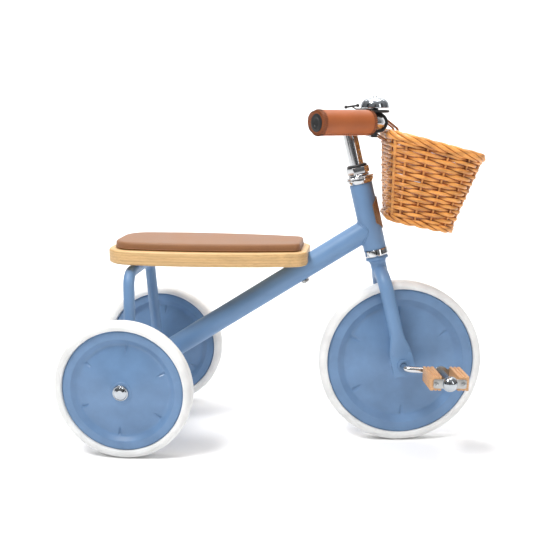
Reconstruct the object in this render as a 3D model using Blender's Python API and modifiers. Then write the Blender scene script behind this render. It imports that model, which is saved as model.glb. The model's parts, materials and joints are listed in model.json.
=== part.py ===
"""Children's tricycle with a wooden seat, swept handlebar, bell, wicker basket and wooden pedals.

Metres, +X forward, +Y to the rider's left, +Z up, ground at Z = 0. The origin is on the ground, in
the mid-plane, half-way along the tricycle. The front end is steered a little to the left, the fork
and wheel a few degrees further than the handlebar.
Empties carry the moving groups, each on its own joint axis.
"""

import math

import bmesh
import bpy
from mathutils import Matrix, Vector

# Driving dimensions
REAR_AXLE_X = -0.2239
WHEELBASE = 0.425
REAR_WHEEL_R = 0.109
FRONT_WHEEL_R = 0.132
HALF_TRACK = 0.1325
TYRE_WIDTH = 0.029
TYRE_DEPTH = 0.0135
STEERING_TILT = math.radians(13.4)
STEERED_ANGLE = math.radians(9.2)
BAR_ANGLE = math.radians(5.0)
GAP = 0.0003

# Frame
MAIN_TUBE_R = 0.0175
HEAD_TUBE_R = 0.018
HEAD_TUBE_BORE = 0.0152
HEAD_TUBE_BOTTOM = 0.189
HEAD_TUBE_TOP = 0.2955
MAIN_TUBE_JOINT = 0.2235
AXLE_TUBE_R = 0.014
AXLE_TUBE_HALF = 0.112
HOOP_TUBE_R = 0.009
HOOP_FOOT_Y = 0.0925
HOOP_SHOULDER_Y = 0.0660
HOOP_BEND_R = 0.024
HOOP_LEAN = math.radians(2)

# Seat
SEAT_BACK_X = -0.047
SEAT_FRONT_X = 0.2755
SEAT_HALF_WIDTH = 0.0735
SEAT_WIDEST_X = 0.075
SEAT_BOW = 0.555
SEAT_BACK_CORNER_R = 0.045
SEAT_FRONT_CORNER_R = 0.024
SEAT_BOTTOM_Z = 0.2920
SEAT_BOARD_THICKNESS = 0.0225
CUSHION_INSET = 0.011
CUSHION_THICKNESS = 0.0125
BRACKET_THICKNESS = 0.004
FRONT_BOLT_X = 0.260

# Wheels and axles
AXLE_R = 0.005
REAR_HUB_HALF = 0.0165
FRONT_HUB_HALF = 0.0285
HUB_R = 0.0165
HUB_BORE = 0.0090
RIM_HALF = 0.0100
CAP_NUT_END = 0.1550

# Fork, steerer and headset, measured along the steering axis from the front axle
FORK_LEG_R = 0.011
FORK_LEG_Y = 0.034
FORK_SHOULDER = 0.118
FORK_LEG_END = 0.0175
CROWN_TOP = 0.1715
DROPOUT_SIZE = 0.036
DROPOUT_THICKNESS = 0.005
STEERER_R = 0.0128
STEERER_BORE = 0.0118
QUILL_R = 0.0114

# Handlebar, in the level plane through the top of the stem
BAR_HEIGHT = 0.5145
BAR_R = 0.0111
BAR_FORWARD = 0.0425
BAR_HALF_STRAIGHT = 0.055
BAR_BEND_R = 0.032
GRIP_SWEEP = math.radians(55)
GRIP_LENGTH = 0.097
GRIP_R = 0.0185
BELL_Y = -0.050
LEVER_REACH = -0.0345
LEVER_HEIGHT = 0.0240
LEVER_BAR_HALF = 0.0100
LEVER_BAR_SKEW = 1.0
BELL_X = 0.0380

# Basket
BASKET_CENTRE = (0.111, -0.1585)
BASKET_TILT = math.radians(13)
BASKET_HEIGHT = 0.132
BASKET_WALL = 0.006
BASKET_BOTTOM = {"back": -0.049, "front": 0.047, "half_width": 0.068, "corner": 0.026}
BASKET_TOP = {"back": -0.084, "front": 0.0645, "half_width": 0.095, "corner": 0.038}
BOTTOM_SLOPE = -0.03
TOP_SLOPE = 0.035
RIM_STANDS_OUT = 0.003
RIM_WIDTH = 0.013
RIM_HEIGHT = 0.015
STRAP_Y = 0.030
STRAP_WIDTH = 0.014
STRAP_THICKNESS = 0.0024

# Crank and pedals
CRANK_R = 0.0050
CRANK_LENGTH = 0.0525
CRANK_DROP = math.radians(4.0)
CRANK_ARM_Y = 0.0570
CRANK_BEND_R = 0.009
PEDAL_TILT = math.radians(1.2)
PEDAL_INNER = 0.0678
PEDAL_OUTER = 0.1290
PEDAL_PLATE = 0.002
PEDAL_PLATE_HALF = 0.0250
PEDAL_BLOCK_WIDTH = 0.0165
PEDAL_BLOCK_HEIGHT = 0.0222
PEDAL_BLOCK_OFFSET = 0.0207
PEDAL_SLEEVE_R = 0.0066

MATERIALS = {
    "blue_paint": ((0.19, 0.31, 0.50), 0.35, 0.0),
    "blue_plastic": ((0.19, 0.31, 0.50), 0.40, 0.0),
    "tyre": ((0.84, 0.84, 0.81), 0.60, 0.0),
    "wood": ((0.75, 0.50, 0.24), 0.55, 0.0),
    "cushion": ((0.40, 0.19, 0.09), 0.55, 0.0),
    "grip_leather": ((0.45, 0.16, 0.06), 0.50, 0.0),
    "chrome": ((0.80, 0.80, 0.80), 0.12, 1.0),
    "black_plastic": ((0.02, 0.02, 0.02), 0.45, 0.0),
    "wicker": ((0.56, 0.25, 0.05), 0.50, 0.0),
    "strap_leather": ((0.38, 0.14, 0.05), 0.55, 0.0),
    "bush": ((0.12, 0.12, 0.13), 0.50, 0.0),
}


# Scene helpers


def clear_scene():
    for obj in list(bpy.data.objects):
        bpy.data.objects.remove(obj)


def collection(name):
    made = bpy.data.collections.new(name)
    bpy.context.scene.collection.children.link(made)
    return made


def principled(name):
    colour, roughness, metallic = MATERIALS[name]
    made = bpy.data.materials.new(name)
    made.use_nodes = True
    shader = made.node_tree.nodes["Principled BSDF"]
    shader.inputs["Base Color"].default_value = (*colour, 1)
    shader.inputs["Roughness"].default_value = roughness
    shader.inputs["Metallic"].default_value = metallic
    return made


def empty(name, parent=None, location=(0, 0, 0), rotation=(0, 0, 0)):
    made = bpy.data.objects.new(name, None)
    made.empty_display_size = 0.03
    PARTS.objects.link(made)
    made.parent = parent
    made.location = location
    made.rotation_euler = rotation
    return made


def add(name, data, material, parent, location=(0, 0, 0), rotation=(0, 0, 0)):
    """A named part, or a hidden cutter where material is None."""
    made = bpy.data.objects.new(name, data)
    if material:
        PARTS.objects.link(made)
        data.materials.append(principled(material))
    else:
        CUTTERS.objects.link(made)
        made.hide_render = True
        made.display_type = "WIRE"
    made.parent = parent
    made.location = location
    made.rotation_euler = rotation
    return made


def smooth(obj, angle=40):
    obj.data.shade_smooth()
    obj.data.set_sharp_from_angle(angle=math.radians(angle))


# Shapes


def turned(name, profile, material, parent, location=(0, 0, 0), rotation=(0, 0, 0), steps=20):
    """A profile of (radius, height) points, outer side first from the top down, turned about Z."""
    mesh = bpy.data.meshes.new(name)
    on_axis = profile[0][0] == 0
    count = len(profile)
    edges = [(i, (i + 1) % count) for i in range(count - 1 if on_axis else count)]
    mesh.from_pydata([(r, 0, z) for r, z in profile], edges, [])
    made = add(name, mesh, material, parent, location, rotation)
    screw = made.modifiers.new("turn", "SCREW")
    screw.steps = steps
    screw.render_steps = steps
    screw.use_smooth_shade = True
    screw.use_merge_vertices = True
    screw.merge_threshold = 0.00001
    return made


def ring(outer, inner, low, high):
    return [(outer, high), (outer, low), (inner, low), (inner, high)]


def rod(radius, low, high, chamfer=0.0):
    """The profile of a solid rod, with chamfered ends where asked."""
    side = [(radius, high - chamfer), (radius, low + chamfer)]
    if chamfer:
        side = [(radius - chamfer, high), *side, (radius - chamfer, low)]
    return [(0, high), *side, (0, low)]


def arc(centre, radius, start, end, segments):
    """Points on an arc in a plane, angles in degrees."""
    angles = [math.radians(start + (end - start) * i / segments) for i in range(segments + 1)]
    return [(centre[0] + radius * math.cos(a), centre[1] + radius * math.sin(a)) for a in angles]


def rounded(points, radius, segments=6, closed=False):
    """The path through the points with an arc at each corner: one radius, or one for each point."""
    points = [Vector(p) for p in points]
    count = len(points)
    radii = radius if isinstance(radius, list) else [radius] * count
    path = []
    for i, corner in enumerate(points):
        if not radii[i] or (not closed and i in (0, count - 1)):
            path.append(corner)
            continue
        into = (points[i - 1] - corner).normalized()
        out = (points[(i + 1) % count] - corner).normalized()
        half = into.angle(out) / 2
        centre = corner + (into + out).normalized() * radii[i] / math.sin(half)
        first = corner + into * radii[i] / math.tan(half) - centre
        last = corner + out * radii[i] / math.tan(half) - centre
        sweep = first.angle(last)
        for step in range(segments + 1):
            turn = Matrix.Rotation(sweep * step / segments, 3, first.cross(last))
            path.append(centre + turn @ first)
    return path


def tube(name, path, radius, material, parent, sides=16, location=(0, 0, 0), rotation=(0, 0, 0)):
    """A round tube or rod along a path."""
    curve = bpy.data.curves.new(name, "CURVE")
    curve.dimensions = "3D"
    curve.bevel_depth = radius
    curve.bevel_resolution = (sides - 4) // 2
    curve.use_fill_caps = True
    spline = curve.splines.new("POLY")
    spline.points.add(len(path) - 1)
    for point, place in zip(spline.points, path):
        point.co = (*place, 1)
    spline.use_smooth = True
    return add(name, curve, material, parent, location, rotation)


def as_mesh(obj, material):
    """The curve object as a closed mesh object, so that it can be cut and joined."""
    graph = bpy.context.evaluated_depsgraph_get()
    mesh = bpy.data.meshes.new_from_object(obj.evaluated_get(graph))
    solid = bmesh.new()
    solid.from_mesh(mesh)
    bmesh.ops.remove_doubles(solid, verts=solid.verts, dist=0.00001)
    bmesh.ops.recalc_face_normals(solid, faces=solid.faces)
    solid.to_mesh(mesh)
    solid.free()
    name = obj.name
    parent = obj.parent
    location = tuple(obj.location)
    rotation = tuple(obj.rotation_euler)
    bpy.data.objects.remove(obj)
    mesh.materials.clear()
    return add(name, mesh, material, parent, location, rotation)


def plate(name, outline, thickness, material, parent, location=(0, 0, 0), rotation=(0, 0, 0)):
    """A flat outline in XY, extruded up from Z = 0."""
    solid = bmesh.new()
    face = solid.faces.new([solid.verts.new((x, y, 0)) for x, y, *_ in outline])
    raised = bmesh.ops.extrude_face_region(solid, geom=[face])["geom"]
    lifted = [item for item in raised if isinstance(item, bmesh.types.BMVert)]
    bmesh.ops.translate(solid, verts=lifted, vec=(0, 0, thickness))
    bmesh.ops.recalc_face_normals(solid, faces=solid.faces)
    mesh = bpy.data.meshes.new(name)
    solid.to_mesh(mesh)
    solid.free()
    return add(name, mesh, material, parent, location, rotation)


def rectangle(low_x, high_x, half_y, corner, segments=6):
    corners = [(low_x, -half_y), (high_x, -half_y), (high_x, half_y), (low_x, half_y)]
    flat = [(x, y, 0) for x, y in corners]
    return rounded(flat, corner, segments, closed=True)


def bevel(obj, width, segments=2, angle=50):
    made = obj.modifiers.new("bevel", "BEVEL")
    made.width = width
    made.segments = segments
    made.limit_method = "ANGLE"
    made.angle_limit = math.radians(angle)


def boolean(obj, other, operation):
    made = obj.modifiers.new(operation.lower(), "BOOLEAN")
    made.operation = operation
    made.object = other
    made.solver = "EXACT"


def cut(obj, *others):
    for other in others:
        boolean(obj, other, "DIFFERENCE")


def join(obj, *others):
    for other in others:
        boolean(obj, other, "UNION")


def band(name, path, width, thickness, material, parent):
    """A closed strap: a loop in XZ, as wide along Y as asked."""
    strip = bmesh.new()
    loop = [strip.verts.new((x, -width / 2, z)) for x, z in path]
    edges = [strip.edges.new((loop[i - 1], loop[i])) for i in range(len(loop))]
    raised = bmesh.ops.extrude_edge_only(strip, edges=edges)["geom"]
    lifted = [item for item in raised if isinstance(item, bmesh.types.BMVert)]
    bmesh.ops.translate(strip, verts=lifted, vec=(0, width, 0))
    bmesh.ops.recalc_face_normals(strip, faces=strip.faces)
    mesh = bpy.data.meshes.new(name)
    strip.to_mesh(mesh)
    strip.free()
    made = add(name, mesh, material, parent)
    shell = made.modifiers.new("thickness", "SOLIDIFY")
    shell.thickness = thickness
    shell.offset = 0
    return made


LYING = (math.pi / 2, 0, 0)


# Sub-assemblies


def build_frame(root):
    """Main tube, head tube, axle tube and seat hoop: the welded frame, one node to a tube."""
    axle = empty("rear_axle_axis", root, (REAR_AXLE_X, 0, REAR_WHEEL_R))
    steering = empty(
        "steering_axis",
        root,
        (REAR_AXLE_X + WHEELBASE, 0, FRONT_WHEEL_R),
        (0, -STEERING_TILT, 0),
    )
    head_bore = ring(HEAD_TUBE_R, HEAD_TUBE_BORE, HEAD_TUBE_BOTTOM, HEAD_TUBE_TOP)
    turned("head_tube", head_bore, "blue_paint", steering, steps=32)
    axle_wall = ring(AXLE_TUBE_R, AXLE_R + GAP, -AXLE_TUBE_HALF, AXLE_TUBE_HALF)
    turned("rear_axle_tube", axle_wall, "blue_paint", axle, rotation=LYING)

    joint_x = WHEELBASE - MAIN_TUBE_JOINT * math.sin(STEERING_TILT)
    joint_z = FRONT_WHEEL_R + MAIN_TUBE_JOINT * math.cos(STEERING_TILT) - REAR_WHEEL_R
    slope = math.atan2(joint_z, joint_x)
    length = math.hypot(joint_x, joint_z)
    main = turned(
        "main_tube",
        rod(MAIN_TUBE_R, 0, length),
        "blue_paint",
        axle,
        rotation=(0, math.pi / 2 - slope, 0),
        steps=32,
    )
    head_cutter = turned(
        "head_tube_cutter",
        rod(HEAD_TUBE_R + GAP, HEAD_TUBE_BOTTOM - 0.03, HEAD_TUBE_TOP),
        None,
        steering,
        steps=32,
    )
    axle_cutter = turned(
        "axle_tube_cutter", rod(AXLE_TUBE_R + GAP, -0.05, 0.05), None, axle, rotation=LYING
    )
    cut(main, head_cutter, axle_cutter)

    hoop_top = SEAT_BOTTOM_Z - BRACKET_THICKNESS - 2 * GAP - HOOP_TUBE_R - REAR_WHEEL_R
    hoop_top_x = -math.tan(HOOP_LEAN) * hoop_top
    corners = [
        (0, -HOOP_FOOT_Y, 0.004),
        (hoop_top_x, -HOOP_SHOULDER_Y, hoop_top),
        (hoop_top_x, HOOP_SHOULDER_Y, hoop_top),
        (0, HOOP_FOOT_Y, 0.004),
    ]
    hoop = tube("seat_hoop", rounded(corners, HOOP_BEND_R, 6), HOOP_TUBE_R, "blue_paint", axle, 12)
    bpy.context.view_layer.update()
    hoop = as_mesh(hoop, "blue_paint")
    smooth(hoop)
    foot_cutter = turned(
        "hoop_foot_cutter", rod(AXLE_TUBE_R + GAP, -0.11, 0.11), None, axle, rotation=LYING
    )
    cut(hoop, foot_cutter)
    return axle, steering, slope, main


def seat_outline(inset):
    """A plan with bowed sides that draw in towards the front, and round corners."""
    back = SEAT_BACK_CORNER_R - inset * 0.8
    front = SEAT_FRONT_CORNER_R - inset * 0.8
    low, high = SEAT_BACK_X + inset, SEAT_FRONT_X - inset
    steps = 7
    start, end = low + back + 0.004, high - front - 0.003
    along = [low, *(start + (end - start) * i / steps for i in range(steps + 1)), high]
    side = [(x, SEAT_HALF_WIDTH - SEAT_BOW * (x - SEAT_WIDEST_X) ** 2 - inset, 0) for x in along]
    radii = [back, *[0] * (steps + 1), front]
    right = [(x, -y, z) for x, y, z in side]
    return rounded(right + side[::-1], radii + radii[::-1], closed=True)


def build_seat(axle, slope, main):
    """Board and cushion on the hoop's bracket and the main tube, held by three bolts."""
    bottom = SEAT_BOTTOM_Z - REAR_WHEEL_R
    board = plate("seat_board", seat_outline(0), SEAT_BOARD_THICKNESS, "wood", axle, (0, 0, bottom))
    bevel(board, 0.003)
    top = bottom + SEAT_BOARD_THICKNESS + GAP
    soft = seat_outline(CUSHION_INSET)
    cushion = plate("seat_cushion", soft, CUSHION_THICKNESS, "cushion", axle, (0, 0, top))
    bevel(cushion, 0.004, 2)

    along_tube = (0, math.pi / 2 - slope, 0)
    clearance = turned(
        "seat_notch",
        rod(MAIN_TUBE_R + 4 * GAP, 0.20, 0.40),
        None,
        axle,
        rotation=along_tube,
        steps=32,
    )
    cut(board, clearance)

    under = bottom - BRACKET_THICKNESS - GAP
    bracket = plate(
        "seat_bracket",
        rectangle(-0.018, 0.030, 0.036, 0.006, 3),
        BRACKET_THICKNESS,
        "blue_paint",
        axle,
        (0, 0, under),
    )
    for side, way in (("right", -1), ("left", 1)):
        place = (0.020, way * 0.024, under)
        seat_bolt(f"seat_bolt_rear_{side}", axle, place, (0, 0, 0), 0.014, (bracket, board))
    middle = Vector((FRONT_BOLT_X, 0, math.tan(slope) * FRONT_BOLT_X))
    down = Vector((math.sin(slope), 0, -math.cos(slope)))
    head = middle + down * (MAIN_TUBE_R + GAP)
    seat_bolt("seat_bolt_front", axle, head, (0, -slope, 0), 0.049, (main, board))


def seat_bolt(name, parent, place, rotation, length, drilled):
    """A round-headed bolt with its head below the place, and its hole through what it holds."""
    profile = [
        (0, length),
        (0.0030, length),
        (0.0030, -GAP),
        (0.0065, -GAP),
        (0.0065, -0.0030),
        (0.0050, -0.0043),
        (0, -0.0043),
    ]
    turned(name, profile, "chrome", parent, place, rotation, 12)
    hole = rod(0.0034, -0.01, length + GAP)
    cutter = turned(f"{name}_hole", hole, None, parent, place, rotation, 12)
    for part in drilled:
        cut(part, cutter)


def wheel(name, radius, hub_half, parent, bore):
    """A smooth tyre and a dished disc, turned about the wheel's own axis."""
    disc_r = radius - TYRE_DEPTH
    side = [
        (disc_r, RIM_HALF),
        (0.86 * disc_r, RIM_HALF),
        (0.77 * disc_r, RIM_HALF - 0.0055),
        (HUB_R, 0.0155),
        (HUB_R, hub_half),
        (bore, hub_half),
    ]
    lower = [(r, -y) for r, y in side]
    turned(f"{name}_disc", [*reversed(side), *lower], "blue_plastic", parent, rotation=LYING, steps=32)
    half = TYRE_WIDTH / 2
    inner = disc_r + GAP
    tread = [
        (inner, half - 0.0015),
        (inner + 0.006, half),
        (radius - 0.0015, half - 0.0050),
        (radius, half - 0.0100),
    ]
    mirrored = [(r, -y) for r, y in reversed(tread)]
    turned(f"{name}_tyre", [*tread, *mirrored], "tyre", parent, rotation=LYING, steps=32)


def build_rear_wheels(axle):
    """Two wheels turning on bushes on one fixed axle, held by shallow chrome caps."""
    rod_end = CAP_NUT_END - 0.0022
    turned("rear_axle", rod(AXLE_R, -rod_end, rod_end, 0.0005), "chrome", axle, rotation=LYING, steps=16)
    for side, way in (("right", -1), ("left", 1)):
        name = f"rear_wheel_{side}"
        spin = empty(f"{name}_axis", axle, (0, way * HALF_TRACK, 0))
        wheel(name, REAR_WHEEL_R, REAR_HUB_HALF, spin, HUB_BORE)
        inner = AXLE_R + GAP
        bush = [
            (HUB_BORE - GAP, REAR_HUB_HALF),
            (HUB_BORE - GAP, -REAR_HUB_HALF),
            (inner, -REAR_HUB_HALF),
            (inner, REAR_HUB_HALF),
        ]
        turned(f"{name}_bush", bush, "bush", spin, rotation=LYING, steps=16)
        start = HALF_TRACK + REAR_HUB_HALF + GAP
        depth = CAP_NUT_END - start
        nut = [
            (0, depth),
            (0.0045, depth - 0.0003),
            (0.0085, depth - 0.0014),
            (0.0112, depth - 0.0030),
            (0.0125, 0.0012),
            (0.0125, 0),
            (inner, 0),
            (inner, rod_end + GAP - start),
            (0, rod_end + GAP - start),
        ]
        turned(
            f"rear_cap_nut_{side}",
            nut,
            "chrome",
            axle,
            (0, way * start, 0),
            (-way * math.pi / 2, 0, 0),
            16,
        )


def build_headset(steering, steered):
    """Cups on the head tube, and the race, cone, washer, locknut and seal that turn with the fork."""
    clear = STEERER_R + 2 * GAP
    skirt = HEAD_TUBE_BORE - GAP
    top = HEAD_TUBE_TOP + GAP
    upper = [
        (0.0215, top + 0.0078),
        (0.0215, top + 0.0050),
        (0.0186, top),
        (skirt, top),
        (skirt, top - 0.008),
        (clear, top - 0.008),
        (clear, top + 0.0078),
    ]
    turned("headset_upper_cup", upper, "chrome", steering)
    low = HEAD_TUBE_BOTTOM - GAP
    lower = [
        (skirt, low + 0.008),
        (skirt, low),
        (0.0195, low),
        (0.0200, low - 0.0085),
        (0.0188, low - 0.0107),
        (clear, low - 0.0107),
        (clear, low + 0.008),
    ]
    turned("headset_lower_cup", lower, "chrome", steering)

    snug = STEERER_R + GAP
    race_top = low - 0.0110 - GAP
    race = [(0.0165, race_top), (0.0180, race_top - 0.003), (0.0180, CROWN_TOP + GAP)]
    turned("crown_race", [*race, (snug, CROWN_TOP + GAP), (snug, race_top)], "blue_paint", steered)
    stack = top + 0.0078 + 2 * GAP
    flange = [(0.0205, stack + 0.0034), (0.0225, stack + 0.0022), (0.0225, stack), (snug, stack)]
    turned("headset_cone", [*flange, (snug, stack + 0.0034)], "chrome", steered)
    stack += 0.0034 + GAP
    washer = [(0.0150, stack + 0.0034), (0.0168, stack + 0.0018), (0.0160, stack), (snug, stack)]
    turned("headset_washer", [*washer, (snug, stack + 0.0034)], "chrome", steered)
    stack += 0.0034 + GAP
    hexagon = arc((0, 0), 0.0182, 0, 300, 5)
    nut = plate("headset_locknut", hexagon, 0.0106, "chrome", steered, (0, 0, stack))
    bore = turned("locknut_bore", rod(snug, stack - 0.01, stack + 0.02), None, steered)
    cut(nut, bore)
    stack += 0.0106 + GAP
    seal = [(0.0140, stack + 0.0036), (0.0160, stack + 0.0020), (0.0160, stack), (snug, stack)]
    turned("headset_seal", [*seal, (snug, stack + 0.0036)], "black_plastic", steered)
    turned("fork_steerer", ring(STEERER_R, STEERER_BORE, CROWN_TOP + GAP, stack), "blue_paint", steered)


def build_badge(steering):
    """A plain six-sided leather badge, wrapped on the front of the head tube."""
    centre = 0.2450
    skin = HEAD_TUBE_R + GAP
    badge = turned(
        "head_badge", ring(skin + 0.0016, skin, centre - 0.03, centre + 0.03), "strap_leather", steering, steps=40
    )
    half_width, shoulder, tip = 0.0172, 0.0150, 0.0270
    outline = [
        (-tip, 0, 0),
        (-shoulder, -half_width, 0),
        (shoulder, -half_width, 0),
        (tip, 0, 0),
        (shoulder, half_width, 0),
        (-shoulder, half_width, 0),
    ]
    shape = plate(
        "badge_shape", outline, 0.03, None, steering, (0.008, 0, centre), (0, math.pi / 2, 0)
    )
    boolean(badge, shape, "INTERSECT")


def build_fork(steered):
    """A one-bend tubular fork with flat ends that hold the crank's bushes."""
    legs = [(-FORK_LEG_Y, FORK_LEG_END), *arc((0, FORK_SHOULDER), FORK_LEG_Y, 180, 0, 8), (FORK_LEG_Y, FORK_LEG_END)]
    fork = tube("fork", [(0, y, z) for y, z in legs], FORK_LEG_R, "blue_paint", steered, 12)
    bpy.context.view_layer.update()
    fork = as_mesh(fork, "blue_paint")
    smooth(fork)
    crown = turned(
        "fork_crown",
        [(0, CROWN_TOP), (0.0140, CROWN_TOP), (0.0125, CROWN_TOP - 0.006), (0.0125, 0.146), (0, 0.146)],
        None,
        steered,
        steps=20,
    )
    join(fork, crown)
    half = DROPOUT_SIZE / 2
    for side, way in (("right", -1), ("left", 1)):
        outline = rectangle(-half, half, half + 0.001, 0.007, 3)
        face = way * FORK_LEG_Y + DROPOUT_THICKNESS / 2
        end = plate(
            f"dropout_{side}", outline, DROPOUT_THICKNESS, None, steered, (0, face, 0.001), LYING
        )
        join(fork, end)
    hole = turned("dropout_hole", rod(0.0093, -0.05, 0.05), None, steered, rotation=LYING, steps=16)
    cut(fork, hole)
    for side, way in (("right", -1), ("left", 1)):
        inner = FORK_LEG_Y - DROPOUT_THICKNESS / 2
        outer = FORK_LEG_Y + DROPOUT_THICKNESS / 2 + GAP
        bore = CRANK_R + GAP
        profile = [
            (0.0125, outer + 0.0020),
            (0.0125, outer),
            (0.0090, outer),
            (0.0090, inner),
            (bore, inner),
            (bore, outer + 0.0020),
        ]
        turned(
            f"fork_bush_{side}", profile, "bush", steered, (0, 0, 0), (-way * math.pi / 2, 0, 0), 16
        )


def build_front_wheel(steered):
    """The front wheel turns with a one-piece crank."""
    spin = empty("front_wheel_axis", steered, rotation=(0, STEERING_TILT + CRANK_DROP, 0))
    wheel("front_wheel", FRONT_WHEEL_R, FRONT_HUB_HALF, spin, CRANK_R + GAP)
    corners = [
        (CRANK_LENGTH, -(PEDAL_OUTER - 0.001), 0),
        (CRANK_LENGTH, -CRANK_ARM_Y, 0),
        (0, -CRANK_ARM_Y, 0),
        (0, CRANK_ARM_Y, 0),
        (-CRANK_LENGTH, CRANK_ARM_Y, 0),
        (-CRANK_LENGTH, PEDAL_OUTER - 0.001, 0),
    ]
    tube("crank", rounded(corners, CRANK_BEND_R, 4), CRANK_R, "chrome", spin, 10)
    for side, way in (("right", -1), ("left", 1)):
        place = (-way * CRANK_LENGTH, 0, 0)
        turn = empty(f"pedal_{side}_axis", spin, place, (0, PEDAL_TILT - CRANK_DROP, 0))
        build_pedal(side, way, turn)


def pedal_block_outline():
    """One pedal block's end, with grooves along its top and bottom faces."""
    half, high, grooves, depth = PEDAL_BLOCK_WIDTH / 2, PEDAL_BLOCK_HEIGHT / 2, 3, 0.0016
    pitch = 2 * half / grooves
    edge = [(-half, high)]
    for i in range(1, grooves):
        x = -half + i * pitch
        edge += [(x - 0.0013, high), (x - 0.0004, high - depth), (x + 0.0004, high - depth), (x + 0.0013, high)]
    edge.append((half, high))
    return edge + [(-x, -z) for x, z in edge]


def build_pedal(side, way, turn):
    """Two grooved wooden blocks between end plates on a sleeve, with a dust cap."""
    name = f"pedal_{side}"
    facing = (-way * math.pi / 2, 0, 0)
    wall = ring(PEDAL_SLEEVE_R, CRANK_R + GAP, PEDAL_INNER, PEDAL_OUTER)
    cage = turned(f"{name}_cage", wall, "chrome", turn, rotation=facing, steps=16)
    bone = dog_bone()
    for place, inner in (("inner", PEDAL_INNER), ("outer", PEDAL_OUTER - PEDAL_PLATE)):
        end = plate(f"{name}_{place}_plate", bone, PEDAL_PLATE, None, turn, (0, way * inner, 0), facing)
        join(cage, end)
    bore = turned(
        f"{name}_bore", rod(CRANK_R + GAP, PEDAL_INNER - 0.01, PEDAL_OUTER + 0.01), None, turn, rotation=facing, steps=16
    )
    cut(cage, bore)
    start = PEDAL_INNER + PEDAL_PLATE + GAP
    length = PEDAL_OUTER - PEDAL_PLATE - GAP - start
    for place, x in (("front", PEDAL_BLOCK_OFFSET), ("rear", -PEDAL_BLOCK_OFFSET)):
        block = plate(
            f"{name}_block_{place}",
            pedal_block_outline(),
            length,
            "wood",
            turn,
            (x, way * start, 0),
            facing,
        )
        block.data.shade_flat()
    out = PEDAL_OUTER + GAP
    dome = [(x, 0.85 * z) for x, z in arc((0, 0), 0.0112, 90, 0, 4)]
    cap = [(0, dome[0][1]), *dome[1:], (0.0119, -0.0008), (0, -0.0008)]
    turned(f"{name}_cap", cap, "chrome", turn, (0, way * (out + 0.0008), 0), facing, 16)


def dog_bone():
    """An end plate: a round middle and two arms that carry a block each."""
    high, middle = 0.0068, 0.0110
    reach = math.degrees(math.asin(high / middle))
    upper = arc((0, 0), middle, reach, 180 - reach, 4)
    upper += [(-PEDAL_PLATE_HALF + 0.002, high), (-PEDAL_PLATE_HALF, high - 0.002)]
    return upper + [(-x, -y) for x, y in upper]


def build_stem(cockpit, steered):
    """A quill stem with a forward arm and a sleeve that grips the bar."""
    across = (math.pi / 2, 0, 0)
    height = (BAR_HEIGHT - FRONT_WHEEL_R) / math.cos(STEERING_TILT)
    stem = turned("quill_stem", rod(QUILL_R, 0.215, height + 0.006, 0.0015), "chrome", steered)
    arm = turned(
        "stem_arm",
        rod(0.0105, 0.0023, BAR_FORWARD - 0.0017),
        None,
        cockpit,
        rotation=(0, math.pi / 2, 0),
        steps=16,
    )
    sleeve = turned(
        "stem_sleeve", rod(0.0155, -0.018, 0.018), None, cockpit, (BAR_FORWARD, 0, 0), across, 20
    )
    join(stem, arm, sleeve)
    bore = turned(
        "bar_bore", rod(BAR_R + GAP, -0.03, 0.03), None, cockpit, (BAR_FORWARD, 0, 0), across, 18
    )
    bolt_hole = turned("stem_bolt_hole", rod(0.0067, height - 0.004, height + 0.02), None, steered, steps=12)
    cut(stem, bore, bolt_hole)
    bolt = [
        (0, height + 0.0045),
        (0.0032, height + 0.0045),
        (0.0032, height + 0.0085),
        (0.0064, height + 0.0085),
        (0.0064, height - 0.0036),
        (0, height - 0.0036),
    ]
    turned("stem_bolt", bolt, "chrome", steered, steps=12)


def bar_path():
    """Half of the handlebar, from the middle to the outer end of the grip on the left."""
    turn = math.degrees(GRIP_SWEEP)
    bend = arc((BAR_FORWARD - BAR_BEND_R, BAR_HALF_STRAIGHT), BAR_BEND_R, 0, turn, 7)
    end = Vector(bend[-1])
    along = Vector((-math.sin(GRIP_SWEEP), math.cos(GRIP_SWEEP)))
    return bend, end, along


def build_handlebar(cockpit):
    """A swept bar with leather grips and end plugs."""
    bend, inner, along = bar_path()
    bar_end = inner + along * (GRIP_LENGTH - 0.004)
    half = [*bend, tuple(bar_end)]
    path = [(x, -y, 0) for x, y in reversed(half)] + [(x, y, 0) for x, y in half]
    tube("handlebar", path, BAR_R, "chrome", cockpit, 12)
    bore = BAR_R + GAP
    sleeve = [
        (GRIP_R - 0.0020, GRIP_LENGTH),
        (GRIP_R, GRIP_LENGTH - 0.0020),
        (GRIP_R, 0.0020),
        (GRIP_R - 0.0020, 0),
        (bore, 0),
        (bore, GRIP_LENGTH),
    ]
    plug = [
        (0, GRIP_LENGTH - 0.0005),
        (0.0085, GRIP_LENGTH - 0.0005),
        (0.0085, GRIP_LENGTH + 0.0010),
        (BAR_R, GRIP_LENGTH + 0.0006),
        (BAR_R, GRIP_LENGTH - 0.004 + GAP),
        (0, GRIP_LENGTH - 0.004 + GAP),
    ]
    for side, way in (("right", -1), ("left", 1)):
        place = (inner.x, way * inner.y, 0)
        facing = (-way * math.pi / 2, 0, way * GRIP_SWEEP)
        turned(f"grip_{side}", sleeve, "grip_leather", cockpit, place, facing, 24)
        turned(f"grip_plug_{side}", plug, "black_plastic", cockpit, place, facing, 16)


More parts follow.
